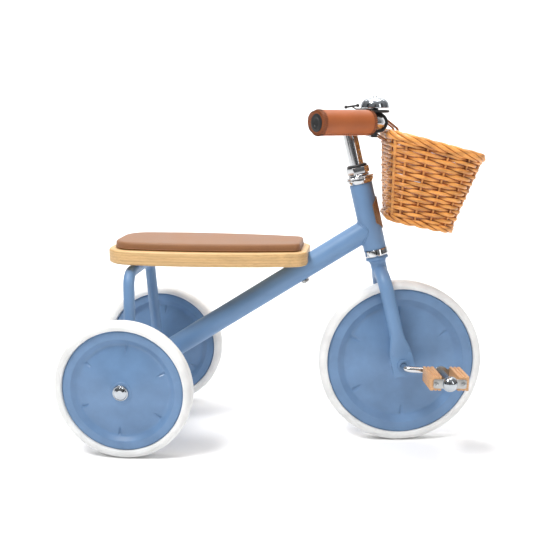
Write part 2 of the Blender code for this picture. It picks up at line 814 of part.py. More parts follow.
def build_bell(cockpit):
    """A dome on a clamped base, with a sprung thumb lever that turns about the bell's post."""
    centre = (BELL_X, BELL_Y, 0)
    base = turned(
        "bell_base",
        [
            (0, 0.0352),
            (0.0026, 0.0352),
            (0.0026, 0.0188),
            (0.0208, 0.0188),
            (0.0220, 0.0180),
            (0.0220, 0.0155),
            (0.0195, 0.0148),
            (0, 0.0148),
        ],
        "black_plastic",
        cockpit,
        centre,
    )
    clamp = turned(
        "bell_clamp",
        rod(BAR_R + 0.0042, -0.0053, 0.0057),
        None,
        cockpit,
        (BAR_FORWARD, BELL_Y, 0),
        LYING,
        24,
    )
    neck = plate(
        "bell_neck", rectangle(-0.009, 0.010, 0.0055, 0.002, 2), 0.009, None, cockpit, (BELL_X, BELL_Y, 0.0075)
    )
    ear = plate(
        "bell_ear",
        rectangle(-0.0045, 0.0045, 0.0055, 0.001, 2),
        0.009,
        None,
        cockpit,
        (BAR_FORWARD - 0.005, BELL_Y, -0.022),
    )
    join(base, clamp, neck, ear)
    bore = turned(
        "bell_bore", rod(BAR_R + GAP, -0.01, 0.01), None, cockpit, (BAR_FORWARD, BELL_Y, 0), LYING, 18
    )
    screw_place = (BAR_FORWARD - 0.0145, BELL_Y, -0.0187)
    screw_line = (0, math.pi / 2, 0)
    screw_hole = turned("bell_screw_hole", rod(0.0018, -0.002, 0.03), None, cockpit, screw_place, screw_line, 12)
    cut(base, bore, screw_hole)
    turned(
        "bell_screw",
        [
            (0, 0.0165),
            (0.0015, 0.0165),
            (0.0015, 0.0047),
            (0.0034, 0.0047),
            (0.0034, 0.0015),
            (0, 0.0015),
        ],
        "chrome",
        cockpit,
        screw_place,
        screw_line,
        12,
    )

    rim_height, wide, high, wall = 0.0215, 0.0213, 0.0158, 0.0009
    quarter = arc((0, 0), 1, 90, 0, 5)
    dome = [(wide * x, rim_height + high * z) for x, z in quarter]
    inside = [((wide - wall) * x, rim_height + (high - wall) * z) for x, z in quarter]
    crown = rim_height + high
    knob = [(0, crown + 0.0028), (0.0022, crown + 0.0024), (0.0030, crown + 0.0010), (0.0030, crown - 0.0002)]
    shell = [*knob, *dome[1:], *reversed(inside[1:]), (0, inside[0][1])]
    turned("bell_dome", shell, "chrome", cockpit, centre)

    pivot = empty("bell_lever_axis", cockpit, centre)
    reach = [(-0.0040, 0, 0.0201), (-0.0285, 0, 0.0201), (LEVER_REACH, 0, LEVER_HEIGHT)]
    lever = tube("bell_lever", reach, 0.0010, "black_plastic", pivot, 8)
    bpy.context.view_layer.update()
    lever = as_mesh(lever, "black_plastic")
    bar = turned(
        "lever_bar",
        rod(0.0012, -LEVER_BAR_HALF, LEVER_BAR_HALF),
        None,
        pivot,
        (LEVER_REACH, 0, LEVER_HEIGHT + 0.0001),
        (math.pi / 2, 0, LEVER_BAR_SKEW),
        10,
    )
    hub = turned("lever_hub", ring(0.0056, 0.0030, 0.0191, 0.0211), None, pivot, steps=16)
    join(lever, bar, hub)
    for side, way in (("near", -1), ("far", 1)):
        sideways = Vector((0, way * LEVER_BAR_HALF, 0))
        sideways.rotate(Matrix.Rotation(LEVER_BAR_SKEW, 3, "Z"))
        ball = turned(
            f"lever_ball_{side}",
            rod_ball(0.0022),
            None,
            pivot,
            Vector((LEVER_REACH, 0, LEVER_HEIGHT + 0.0001)) + sideways,
            steps=10,
        )
        join(lever, ball)


def rod_ball(radius):
    """The profile of a ball about its own middle."""
    points = arc((0, 0), radius, 90, -90, 6)
    return [(0, radius), *points[1:-1], (0, -radius)]


def basket_ring(size, height, grow):
    """One level of the basket, grown outwards by an amount, sloped a little from back to front."""
    slope = BOTTOM_SLOPE + (TOP_SLOPE - BOTTOM_SLOPE) * height / BASKET_HEIGHT
    corner = size["corner"] + grow
    points = rectangle(size["back"] - grow, size["front"] + grow, size["half_width"] + grow, corner, 4)
    return [(p.x, p.y, height - slope * p.x) for p in points]


def basket_size(share):
    """The basket's outline at a share of its height."""
    return {key: low + (BASKET_TOP[key] - low) * share for key, low in BASKET_BOTTOM.items()}


def build_basket(cockpit):
    """An open basket, a leather strap and buckle each side, looped round the bar and the rim."""
    place = (BASKET_CENTRE[0], 0, BASKET_CENTRE[1])
    hung = empty("basket_frame", cockpit, place, (0, BASKET_TILT, 0))
    under_rim = BASKET_HEIGHT - RIM_HEIGHT
    levels = [
        (0.0, 0.001),
        (0.006, RIM_STANDS_OUT),
        (0.012, 0.0),
        (under_rim, 0.0),
        (under_rim + 0.003, RIM_STANDS_OUT),
        (BASKET_HEIGHT - 0.003, RIM_STANDS_OUT),
        (BASKET_HEIGHT, RIM_STANDS_OUT - 0.004),
        (BASKET_HEIGHT, RIM_STANDS_OUT - RIM_WIDTH + 0.003),
        (BASKET_HEIGHT - 0.004, RIM_STANDS_OUT - RIM_WIDTH),
        (under_rim + 0.001, RIM_STANDS_OUT - RIM_WIDTH),
        (under_rim, -BASKET_WALL),
        (BASKET_WALL, -BASKET_WALL),
    ]
    solid = bmesh.new()
    rings = []
    for height, grow in levels:
        size = basket_size(height / BASKET_HEIGHT)
        rings.append([solid.verts.new(p) for p in basket_ring(size, height, grow)])
    for lower, upper in zip(rings, rings[1:]):
        for i in range(len(lower)):
            solid.faces.new((lower[i - 1], lower[i], upper[i], upper[i - 1]))
    solid.faces.new(reversed(rings[0]))
    solid.faces.new(rings[-1])
    mesh = bpy.data.meshes.new("basket")
    solid.to_mesh(mesh)
    solid.free()
    basket = add("basket", mesh, "wicker", hung)

    back = basket_size(under_rim / BASKET_HEIGHT)["back"]
    reach = BAR_R + GAP + STRAP_THICKNESS / 2
    rise = -TOP_SLOPE * back
    low = under_rim - 0.003 + rise
    inside = back - RIM_STANDS_OUT + RIM_WIDTH + 0.0025
    outside = back - RIM_STANDS_OUT - 0.0015

    def in_cockpit(x, z):
        turned_x = x * math.cos(BASKET_TILT) + z * math.sin(BASKET_TILT)
        turned_z = -x * math.sin(BASKET_TILT) + z * math.cos(BASKET_TILT)
        return (BASKET_CENTRE[0] + turned_x, BASKET_CENTRE[1] + turned_z)

    over_bar = arc((BAR_FORWARD, 0), reach, 230, 54, 9)
    loop = [*over_bar, in_cockpit(inside, BASKET_HEIGHT + 0.002 + rise), in_cockpit(inside, low)]
    loop.append(in_cockpit(outside, low))
    for side, way in (("right", -1), ("left", 1)):
        hanger = empty(f"strap_{side}_frame", cockpit, (0, way * STRAP_Y, 0))
        band(f"basket_strap_{side}", loop, STRAP_WIDTH, STRAP_THICKNESS, "strap_leather", hanger)
        slot = band(
            f"strap_{side}_slot", loop, STRAP_WIDTH + 2 * GAP, STRAP_THICKNESS + 2 * GAP, None, hanger
        )
        cut(basket, slot)


def main():
    clear_scene()
    root = empty("tricycle")
    axle, steering, slope, main_tube = build_frame(root)
    build_seat(axle, slope, main_tube)
    build_rear_wheels(axle)
    build_badge(steering)
    steered = empty("steered_parts", steering, rotation=(0, 0, STEERED_ANGLE))
    build_headset(steering, steered)
    build_fork(steered)
    build_front_wheel(steered)
    height = (BAR_HEIGHT - FRONT_WHEEL_R) / math.cos(STEERING_TILT)
    bar_parts = empty("bar_parts", steering, rotation=(0, 0, BAR_ANGLE))
    cockpit = empty("handlebar_plane", bar_parts, (0, 0, height), (0, STEERING_TILT, 0))
    build_stem(cockpit, steered)
    build_handlebar(cockpit)
    build_bell(cockpit)
    build_basket(cockpit)


clear_scene()
PARTS = collection("tricycle")
CUTTERS = collection("cutters")
main()
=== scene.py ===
"""Visual model of a children's tricycle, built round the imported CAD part.

Metres, +X forward, +Y to the rider's left, +Z up, ground at Z = 0. Every piece of the tricycle rides
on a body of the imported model. Dimensions repeat those of part.py, with finer ones where it is plain.
"""

import json
from math import asin, atan2, copysign, cos, degrees, exp, modf, pi, radians, sin, sqrt, tan

import bmesh
import bpy
from mathutils import Matrix, Vector


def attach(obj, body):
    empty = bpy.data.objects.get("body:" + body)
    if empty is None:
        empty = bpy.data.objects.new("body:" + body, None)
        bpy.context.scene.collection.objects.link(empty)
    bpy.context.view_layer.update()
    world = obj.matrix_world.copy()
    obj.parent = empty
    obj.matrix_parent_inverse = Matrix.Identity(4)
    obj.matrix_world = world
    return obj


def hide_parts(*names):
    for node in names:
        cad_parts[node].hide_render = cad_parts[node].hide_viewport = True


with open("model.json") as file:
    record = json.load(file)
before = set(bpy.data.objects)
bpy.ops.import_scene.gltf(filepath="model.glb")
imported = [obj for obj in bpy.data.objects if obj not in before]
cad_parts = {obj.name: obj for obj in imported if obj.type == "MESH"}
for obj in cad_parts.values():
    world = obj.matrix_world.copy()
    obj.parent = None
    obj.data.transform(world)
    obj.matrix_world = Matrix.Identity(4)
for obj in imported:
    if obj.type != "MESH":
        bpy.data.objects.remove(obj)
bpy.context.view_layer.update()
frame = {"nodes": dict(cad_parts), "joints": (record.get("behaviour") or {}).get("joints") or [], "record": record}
NODES = frame["nodes"]
SLOTS = {part["node"]: part["material_slot"] for part in frame["record"]["subparts"]}
BODIES = {node: body for body, nodes in frame["record"]["behaviour"]["bodies"].items() for node in nodes}
JOINTS = {joint["name"]: joint for joint in frame["joints"]}

TILT, STEER, BAR_TURN, CRANK_DROP, PEDAL_TILT = 13.4, 9.2, 5.0, 4.0, 1.2
FRONT_AXLE = Vector(JOINTS["steering_turn"]["pos_m"])
REAR_AXLE = Vector(JOINTS["rear_wheel_right_spin"]["pos_m"])
REAR_AXLE.y = 0
HALF_TRACK = 0.1325
FRONT_RADIUS, REAR_RADIUS = 0.132, 0.109
ROD_RADIUS, ROD_BORE = 0.005, 0.0053
REAR_HUB_HALF, AXLE_TUBE_HALF, AXLE_HALF, CAP_END = 0.0165, 0.112, 0.1528, 0.155
AXLE_TUBE_RADIUS, MAIN_RADIUS, HOOP_RADIUS = 0.014, 0.0175, 0.009
HEAD_LOW, HEAD_TOP, HEAD_RADIUS, MAIN_JOINT, BADGE_MIDDLE = 0.189, 0.2955, 0.018, 0.2235, 0.245
CROWN_TOP, LEG_Y, DROPOUT_HALF = 0.1715, 0.034, 0.0025
BRACKET_THICK, BOARD_BOTTOM, BOARD_THICK, CUSHION_THICK = 0.004, 0.292, 0.0225, 0.0125
CRANK, ARM_Y, PEDAL_INNER, PEDAL_OUTER = 0.0525, 0.057, 0.0678, 0.129
BAR_ABOVE_GROUND, BAR_RADIUS, BAR_FORWARD = 0.5145, 0.0111, 0.0425
BELL_Y = -0.05
GAP = 0.0003
UP = Vector((0, 0, 1))
SIDES = (("right", -1), ("left", 1))


def turn(angle, axis):
    """A rotation by an angle in degrees."""
    return Matrix.Rotation(radians(angle), 4, axis)


def move(x, y, z):
    return Matrix.Translation((x, y, z))


BAR_HEIGHT = (BAR_ABOVE_GROUND - FRONT_RADIUS) / cos(radians(TILT))
REAR = Matrix.Translation(REAR_AXLE)
STEERING = Matrix.Translation(FRONT_AXLE) @ turn(-TILT, "Y")
STEERED = STEERING @ turn(STEER, "Z")
FRONT = STEERED @ turn(TILT + CRANK_DROP, "Y")
BAR_PARTS = STEERING @ turn(BAR_TURN, "Z")
COCKPIT = BAR_PARTS @ move(0, 0, BAR_HEIGHT) @ turn(TILT, "Y")
ALONG_Y = turn(-90, "X")


# Points


def arc(centre, radius, start, end, steps):
    """Points on a circle in a plane, angles in degrees."""
    found = []
    for i in range(steps + 1):
        angle = radians(start + (end - start) * i / steps)
        found.append((centre[0] + radius * cos(angle), centre[1] + radius * sin(angle)))
    return found


def soften(points, radius, steps=3, closed=False):
    """The same line with each corner turned into an arc of a radius."""
    points = [Vector(p) for p in points]
    count = len(points)
    found = []
    for i, corner in enumerate(points):
        if not closed and i in (0, count - 1):
            found.append(corner)
            continue
        back = points[i - 1] - corner
        ahead = points[(i + 1) % count] - corner
        bend = pi - back.angle(ahead, pi)
        if bend < 0.02:
            found.append(corner)
            continue
        r = radius[i] if isinstance(radius, (list, tuple)) else radius
        reach = min(r * tan(bend / 2), 0.49 * back.length, 0.49 * ahead.length)
        first = corner + back.normalized() * reach
        last = corner + ahead.normalized() * reach
        weight = cos(bend / 2)
        for k in range(steps + 1):
            t = k / steps
            a, b, c = (1 - t) ** 2, 2 * t * (1 - t) * weight, t * t
            found.append((first * a + corner * b + last * c) / (a + b + c))
    return found


def resample(loop, count):
    """A closed line of evenly spaced points, starting at the first."""
    loop = [Vector(p) for p in loop]
    lengths = [(loop[(i + 1) % len(loop)] - p).length for i, p in enumerate(loop)]
    step, found, i, passed = sum(lengths) / count, [], 0, 0.0
    for k in range(count):
        while passed + lengths[i] < k * step:
            passed += lengths[i]
            i += 1
        share = (k * step - passed) / lengths[i]
        found.append(loop[i].lerp(loop[(i + 1) % len(loop)], share))
    return found


def box_outline(low, high, half, corner, steps=8):
    """A rectangle in XY with round corners, from the middle of its low side."""
    corners = [(low, 0), (low, -half), (high, -half), (high, half), (low, half)]
    radii = [0, *corner] if isinstance(corner, (list, tuple)) else [0] + [corner] * 4
    return soften(corners, radii, steps, closed=True)


def noise(i, seed=0.0):
    """A repeatable number from -1 to 1 that jumps about with i."""
    return 2 * modf(abs(sin(i * 12.9898 + seed * 78.233) * 43758.5453))[0] - 1


def circle(steps):
    """Even angles once round, in radians."""
    return [2 * pi * i / steps for i in range(steps)]


# Meshes


def linked(name, data):
    """A new object in the scene."""
    obj = bpy.data.objects.new(name, data)
    bpy.context.scene.collection.objects.link(obj)
    return obj


def smooth(mesh, angle):
    mesh.shade_smooth()
    mesh.set_sharp_from_angle(angle=radians(angle))


class Shape:
    """Rings of points skinned into one mesh, which a matrix places."""

    def __init__(self, place=Matrix.Identity(4)):
        self.place, self.points, self.faces = place, [], []

    def loft(self, rings, closed=False):
        """Skins rings of points, or poles of one point, and caps the ends of an open row."""
        starts = []
        for ring in rings:
            starts.append(len(self.points))
            self.points += [self.place @ Vector(p) for p in ring]
        pairs = list(zip(range(len(rings)), range(1, len(rings))))
        if closed:
            pairs.append((len(rings) - 1, 0))
        for a, b in pairs:
            wide = max(len(rings[a]), len(rings[b]))
            for j in range(wide):
                k = (j + 1) % wide
                low = [starts[a] + j % len(rings[a]), starts[a] + k % len(rings[a])]
                high = [starts[b] + k % len(rings[b]), starts[b] + j % len(rings[b])]
                self.faces.append(tuple(dict.fromkeys(low + high)))
        if not closed:
            for start, ring in ((starts[0], rings[0]), (starts[-1], rings[-1])):
                if len(ring) > 2:
                    self.faces.append(tuple(range(start, start + len(ring))))
        return self

    def lathe(self, profile, place=Matrix.Identity(4), steps=64, closed=False):
        """Turns (radius, height) points about the place's Z axis."""
        rings = []
        for r, z in profile:
            if r < 1e-7:
                rings.append([place @ Vector((0, 0, z))])
                continue
            rings.append([place @ Vector((r * cos(a), r * sin(a), z)) for a in circle(steps)])
        return self.loft(rings, closed)

    def sweep(self, path, radius, sides=16, closed=False, up=None, flat=1.0):
        """A round tube along a path. Up fixes its frame, and flat squeezes it across up."""
        path = [Vector(p) for p in path]
        count, rings, normal = len(path), [], None
        for i, p in enumerate(path):
            before = path[i - 1] if closed or i else p
            after = path[(i + 1) % count] if closed or i < count - 1 else p
            along = (after - before).normalized()
            if up is not None:
                normal = Vector(up)
            elif normal is None:
                normal = UP if abs(along.z) < 0.8 else Vector((1, 0, 0))
            normal = (normal - along * normal.dot(along)).normalized()
            across = along.cross(normal) * flat
            r = radius(i) if callable(radius) else radius
            rings.append([p + (normal * cos(a) + across * sin(a)) * r for a in circle(sides)])
        return self.loft(rings, closed)

    def slab(self, outline, low, high, round_edge=0.0005, steps=3):
        """A flat XY outline between two heights, with its edges rounded."""
        levels = []
        for k in range(steps + 1):
            angle = pi / 2 * k / steps
            inset = round_edge * (1 - sin(angle))
            levels.append((low + round_edge * (1 - cos(angle)), inset))
        levels += [(high + low - z, inset) for z, inset in reversed(levels)]
        return self.loft([[(*p, z) for p in inset_loop(outline, inset)] for z, inset in levels])

    def add(self, *others):
        """Takes in the faces of other shapes."""
        for other in others:
            self.faces += [tuple(i + len(self.points) for i in face) for face in other.faces]
            self.points += other.points
        return self

    def piece(self, name, look, body, slot, *replaced, angle=35):
        """The shape as an object that rides on a body and stands for CAD nodes."""
        mesh = bpy.data.meshes.new(name)
        mesh.from_pydata(self.points, [], self.faces)
        solid = bmesh.new()
        solid.from_mesh(mesh)
        bmesh.ops.recalc_face_normals(solid, faces=solid.faces)
        solid.to_mesh(mesh)
        solid.free()
        smooth(mesh, angle)
        mesh.materials.append(look)
        obj = linked(name, mesh)
        if body:
            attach(obj, body)
        if replaced:
            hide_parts(*replaced)
        return obj

    def stand_in(self, node, look, angle=35):
        """The shape in the place of one CAD node, on its body."""
        return self.piece(f"{node}_visual", look, BODIES[node], SLOTS[node], node, angle=angle)


def inset_loop(outline, inset):
    """A closed XY outline moved inwards."""
    if abs(inset) < 1e-9:
        return list(outline)
    area = sum(a.x * b.y - b.x * a.y for a, b in zip(outline, outline[1:] + outline[:1]))
    way = 1 if area > 0 else -1
    found = []
    for i, p in enumerate(outline):
        along = (outline[(i + 1) % len(outline)] - outline[i - 1]).normalized()
        found.append(p + Vector((-along.y, along.x)) * inset * way)
    return found


def carve(obj, shape):
    """Cuts a shape out of an object."""
    cutter = shape.piece(obj.name + "_cutter", obj.data.materials[0], None, None)
    modifier = obj.modifiers.new("carve", "BOOLEAN")
    modifier.object = cutter
    bpy.context.view_layer.update()
    graph = bpy.context.evaluated_depsgraph_get()
    mesh = bpy.data.meshes.new_from_object(obj.evaluated_get(graph))
    obj.modifiers.clear()
    obj.data = mesh
    smooth(mesh, 35)
    bpy.data.objects.remove(cutter)


def rod(radius, low, high):
    """The profile of a solid round bar with softened ends."""
    return soften([(0, low), (radius, low), (radius, high), (0, high)], 0.0006)


def collar(outer, inner, low, high, edge=0.0005, steps=3):
    """The closed profile of a ring."""
    return soften([(inner, low), (outer, low), (outer, high), (inner, high)], edge, steps, True)


# Materials


class Look:
    """A Principled material, with short ways to wire its nodes."""

    def __init__(self, name, colour, roughness, metallic=0.0, **sockets):
        self.material = bpy.data.materials.new(name)
        self.material.use_nodes = True
        self.tree = self.material.node_tree
        self.shader = self.tree.nodes["Principled BSDF"]
        values = {"Base Color": (*colour, 1), "Roughness": roughness, "Metallic": metallic}
        values.update({key.replace("_", " "): value for key, value in sockets.items()})
        for key, value in values.items():
            self.shader.inputs[key].default_value = value
        self.place = self.node("TexCoord").outputs["Object"]

    def node(self, kind, inputs=None, **settings):
        made = self.tree.nodes.new("ShaderNode" + kind)
        for key, value in settings.items():
            setattr(made, key, value)
        for key, value in (inputs or {}).items():
            if isinstance(value, bpy.types.NodeSocket):
                self.tree.links.new(value, made.inputs[key])
            else:
                made.inputs[key].default_value = value
        return made

    def stretched(self, scale):
        return self.node("Mapping", {"Vector": self.place, "Scale": scale}).outputs["Vector"]

    def noise(self, scale, detail=3.0, vector=None, rough=0.5, distort=0.0):
        inputs = {"Vector": vector or self.place, "Scale": scale, "Detail": detail}
        inputs.update({"Roughness": rough, "Distortion": distort})
        return self.node("TexNoise", inputs).outputs["Fac"]

    def ramp(self, factor, *stops):
        made = self.node("ValToRGB", {"Fac": factor})
        elements = made.color_ramp.elements
        while len(elements) < len(stops):
            elements.new(0.5)
        for element, (position, colour) in zip(elements, stops):
            element.position = position
            element.color = (*colour, 1) if isinstance(colour, tuple) else (colour, colour, colour, 1)
        return made.outputs["Color"]

    def mix(self, kind, factor, a, b):
        made = self.node("Mix", data_type="RGBA", blend_type=kind)
        for index, value in ((0, factor), (6, a), (7, b)):
            if isinstance(value, bpy.types.NodeSocket):
                self.tree.links.new(value, made.inputs[index])
            else:
                made.inputs[index].default_value = (*value, 1) if index else value
        return made.outputs[2]

    def colour(self, socket):
        self.tree.links.new(socket, self.shader.inputs["Base Color"])

    def rough(self, factor, low, high):
        inputs = {"Value": factor, "To Min": low, "To Max": high}
        made = self.node("MapRange", inputs)
        self.tree.links.new(made.outputs["Result"], self.shader.inputs["Roughness"])

    def bump(self, height, strength, distance, under=None):
        inputs = {"Height": height, "Strength": strength, "Distance": distance}
        if under:
            inputs["Normal"] = under
        made = self.node("Bump", inputs).outputs["Normal"]
        self.tree.links.new(made, self.shader.inputs["Normal"])
        return made


def shade(colour, factor):
    return tuple(min(1.0, c * factor) for c in colour)


def painted(name, colour, roughness):
    look = Look(name, colour, roughness, Coat_Weight=0.08, Coat_Roughness=0.25)
    cloud = look.noise(18, 4)
    look.colour(look.ramp(cloud, (0.3, shade(colour, 0.94)), (0.7, shade(colour, 1.05))))
    look.rough(look.noise(60, 4), roughness - 0.06, roughness + 0.08)
    look.bump(look.noise(1400, 2), 0.06, 0.0004)
    return look.material


def plated(name, colour, roughness):
    look = Look(name, colour, roughness, 1.0)
    smear = look.noise(90, 5, look.stretched((1, 1, 0.3)))
    look.colour(look.ramp(smear, (0.35, shade(colour, 0.9)), (0.65, colour)))
    look.rough(look.noise(240, 4), roughness * 0.7, roughness * 1.9)
    look.bump(look.noise(700, 2), 0.02, 0.0003)
    return look.material


def wooden(name, colour, stretch):
    """Pale timber with its grain along the axis that stretch squeezes least."""
    look = Look(name, colour, 0.5, Coat_Weight=0.12, Coat_Roughness=0.3)
    lines = look.stretched(stretch)
    growth = look.noise(9, 2, lines, 0.5, 1.2)
    fibre = look.noise(60, 6, lines, 0.65)
    inputs = {"Vector": lines, "Scale": 3.2, "Distortion": 3.0, "Detail": 2.0}
    bands = look.node("TexWave", inputs, bands_direction="Z")
    base = look.ramp(growth, (0.3, shade(colour, 0.86)), (0.55, colour), (0.8, shade(colour, 1.08)))
    figure = look.ramp(bands.outputs["Fac"], (0.0, (0.86, 0.8, 0.72)), (0.35, (1, 1, 1)), (1.0, (1, 1, 1)))
    pores = look.ramp(fibre, (0.3, (0.72, 0.62, 0.5)), (0.5, (1, 1, 1)))
    look.colour(look.mix("MULTIPLY", 0.75, look.mix("MULTIPLY", 0.8, base, figure), pores))
    look.rough(fibre, 0.42, 0.62)
    look.bump(fibre, 0.12, 0.0004)
    return look.material


def hide(name, colour, roughness, grain=900, depth=0.25, **sockets):
    """Leather, or a leatherette, with a pebbled surface and worn, paler high spots."""
    look = Look(name, colour, roughness, **sockets)
    cells = look.node("TexVoronoi", {"Vector": look.place, "Scale": grain}, feature="DISTANCE_TO_EDGE")
    wear = look.noise(26, 5, rough=0.6)
    patch = look.ramp(wear, (0.32, shade(colour, 0.91)), (0.55, colour), (0.78, shade(colour, 1.08)))
    creases = look.ramp(cells.outputs["Distance"], (0.0, (0.7, 0.66, 0.62)), (0.12, (1, 1, 1)))
    look.colour(look.mix("MULTIPLY", 0.6, patch, creases))
    look.rough(wear, roughness - 0.08, roughness + 0.12)
    fine = look.bump(look.noise(grain * 1.7, 3), depth * 0.5, 0.0003)
    look.bump(cells.outputs["Distance"], depth, 0.0004, fine)
    return look.material


def moulded(name, colour, roughness, grain=1500, depth=0.1):
    look = Look(name, colour, roughness)
    look.colour(look.ramp(look.noise(30, 4), (0.3, shade(colour, 0.88)), (0.7, shade(colour, 1.08))))
    look.rough(look.noise(90, 3), roughness - 0.07, roughness + 0.08)
    look.bump(look.noise(grain, 2), depth, 0.0003)
    return look.material


def cane(name, colour):
    """Varnished willow: rods that differ in tone, with fine lines along them, and painted shade that darkens the
    crevices.
    """
    look = Look(name, colour, 0.42, Coat_Weight=0.35, Coat_Roughness=0.25)
    rods = look.noise(30, 2, look.stretched((1, 1, 7)))
    patch = look.noise(55, 4)
    pale = (0.86, 0.46, 0.13)
    stops = ((0.28, shade(colour, 0.62)), (0.45, colour), (0.62, shade(colour, 1.2)), (0.8, pale))
    tone = look.ramp(rods, *stops)
    spots = look.ramp(patch, (0.3, (0.62, 0.5, 0.38)), (0.52, (1, 1, 1)))
    # Painted shade: an ambient occlusion reading darkens the colour in the crevices between the rods.
    depth = look.node("AmbientOcclusion", {"Distance": 0.007}, samples=8).outputs["AO"]
    painted_crevice_shade = look.ramp(depth, (0.22, (0.12, 0.05, 0.03)), (0.55, (0.66, 0.45, 0.32)), (0.85, (1, 1, 1)))
    look.colour(look.mix("MULTIPLY", 1.0, look.mix("MULTIPLY", 0.65, tone, spots), painted_crevice_shade))
    look.rough(patch, 0.32, 0.55)
    look.bump(look.noise(420, 5, look.stretched((1, 1, 3))), 0.25, 0.0005)
    return look.material


BLUE = (0.145, 0.265, 0.455)
MOULDED_BLUE = (0.138, 0.246, 0.42)
blue_paint = painted("blue_paint", BLUE, 0.45)
blue_plastic = moulded("blue_plastic", MOULDED_BLUE, 0.32, 1800, 0.04)
bush_blue = moulded("bush_blue", MOULDED_BLUE, 0.5)
rubber = moulded("off_white_rubber", (0.8, 0.8, 0.785), 0.58, 900, 0.12)
chrome = plated("chrome", (0.66, 0.67, 0.68), 0.09)
soft_chrome = plated("soft_chrome", (0.48, 0.51, 0.54), 0.1)
steel = plated("zinc_plate", (0.46, 0.46, 0.45), 0.26)
black = moulded("black_plastic", (0.018, 0.018, 0.018), 0.42)
nylon = moulded("bush_nylon", (0.12, 0.12, 0.13), 0.5)
board_wood = wooden("board_wood", (0.68, 0.44, 0.2), (1.0, 14.0, 22.0))
pedal_wood = wooden("pedal_wood", (0.7, 0.4, 0.2), (30.0, 2.0, 30.0))
cushion_hide = hide("cushion_leather", (0.28, 0.122, 0.046), 0.55, 1100, 0.16, Sheen_Weight=0.1)
grip_hide = hide("grip_leather", (0.43, 0.112, 0.026), 0.48, 1000, 0.3)
badge_hide = hide("badge_leather", (0.3, 0.165, 0.085), 0.55, 1100, 0.3)
strap_hide = hide("strap_leather", (0.42, 0.165, 0.055), 0.52, 1100, 0.3)
thread = moulded("thread", (0.06, 0.022, 0.01), 0.7, 2500, 0.3)
willow = cane("willow", (0.74, 0.315, 0.068))


# Wheels

NOTCH_START, NOTCH_END = 0.62, 0.775


def notch(share, angle):
    """Depth of the six wedge-shaped dents in a disc, from 0 to 1."""
    if not NOTCH_START < share < NOTCH_END:
        return 0.0
    along = min((share - NOTCH_START) / 0.05, (NOTCH_END - share) / 0.02, 1.0)
    half = 0.036 + 0.1 * (share - NOTCH_START)
    across = max(0.0, 1 - abs(angle) / half)
    return along * across * across * (3 - 2 * across)


def wheel(name, radius, hub_half, bore, place, first_notch):
    """A dished disc with six dents and a smooth tyre, about the place's Y axis."""
    disc_r = radius - 0.0135
    hub, trough = 0.0165, 0.77 * disc_r
    hub_side, trough_side, outer_side = 0.0155, 0.003, 0.01
    angles = circle(120)
    dents = [radians(first_notch + 60 * k) for k in range(6)]
    for dent in dents:
        angles += [dent + radians(0.25 * k) for k in range(-10, 11)]
    angles = sorted({round(a % (2 * pi), 5) for a in angles})
    radii = [hub + (trough - 0.008 - hub) * k / 26 for k in range(27)]
    cone = [(r, hub_side - (hub_side - trough_side) * (r - hub) / (trough - hub)) for r in radii]
    flank = [cone[-1], (trough, trough_side), (0.86 * disc_r, outer_side)]
    flank += [(disc_r - 0.002, outer_side), (disc_r, outer_side - 0.0015)]
    lip = soften(flank, [0, 0.007, 0.003, 0.001, 0], 5)
    corners = [(bore, hub_half), (hub, hub_half), (hub, hub_side + 0.0004), (hub + 0.0015, 0.0152)]
    profile = [*soften(corners, 0.001), *cone[2:], *lip[1:]]

    def ring(r, y, way):
        points = []
        for a in angles:
            nearest = min(abs((a - d + pi) % (2 * pi) - pi) for d in dents)
            depth = 0.0018 * notch(r / disc_r, nearest)
            points.append((r * cos(a), way * (y - depth), r * sin(a)))
        return points

    rings = [ring(*p, 1) for p in profile] + [ring(*p, -1) for p in reversed(profile)]
    Shape(place).loft(rings, closed=True).stand_in(f"{name}_disc", blue_plastic, angle=50)

    half, inner = 0.0145, disc_r + GAP
    upper = [(radius - 0.0003, half - 0.0065), (radius - 0.0035, half - 0.0022), (inner + 0.006, half)]
    upper += [(inner + 0.001, half - 0.0008), (inner, half - 0.003)]
    lower = [(r, -y) for r, y in reversed(upper)]
    tread = soften([*lower, (radius, 0), *upper], 0.004, 5, closed=True)
    lines = []
    for r, y in resample(tread, 132):
        on_side = abs(y) > half - 0.002 and r > inner + 0.002
        groove = 0.00016 * max(0.0, sin((r - inner) * 2 * pi / 0.0022)) if on_side else 0.0
        lines.append((r, y - copysign(groove, y)))
    tyre = Shape(place @ ALONG_Y).lathe(lines, steps=160, closed=True)
    tyre.stand_in(f"{name}_tyre", rubber, angle=60)


wheel("front_wheel", FRONT_RADIUS, 0.0285, ROD_BORE, FRONT, 37)
for side, way in SIDES:
    name = f"rear_wheel_{side}"
    place = REAR @ move(0, way * HALF_TRACK, 0)
    wheel(name, REAR_RADIUS, REAR_HUB_HALF, 0.009, place, 24)
    bush = Shape(place @ ALONG_Y)
    bush.lathe(collar(0.0087, ROD_BORE, -REAR_HUB_HALF, REAR_HUB_HALF), steps=32, closed=True)
    bush.stand_in(f"{name}_bush", nylon)


# Welded frame


def on_tube(start, along, centre, axis, radius):
    """Where a line first meets the surface of a round tube."""
    axis = Vector(axis).normalized()
    flat_along = along - axis * along.dot(axis)
    away = start - centre
    flat_away = away - axis * away.dot(axis)
    a, b = flat_along.length_squared, 2 * flat_along.dot(flat_away)
    root = b * b - 4 * a * (flat_away.length_squared - radius * radius)
    return start + along * ((-b - sqrt(max(root, 0))) / (2 * a))


def mitred_ring(centre, along, radius, onto, sides=96):
    """The line where a tube that runs along a direction meets another tube."""
    along = Vector(along).normalized()
    normal = along.orthogonal().normalized()
    across = along.cross(normal)
    found = []
    for angle in circle(sides):
        offset = (normal * cos(angle) + across * sin(angle)) * radius
        found.append(on_tube(centre + offset - along * 0.1, along, *onto))
    return found


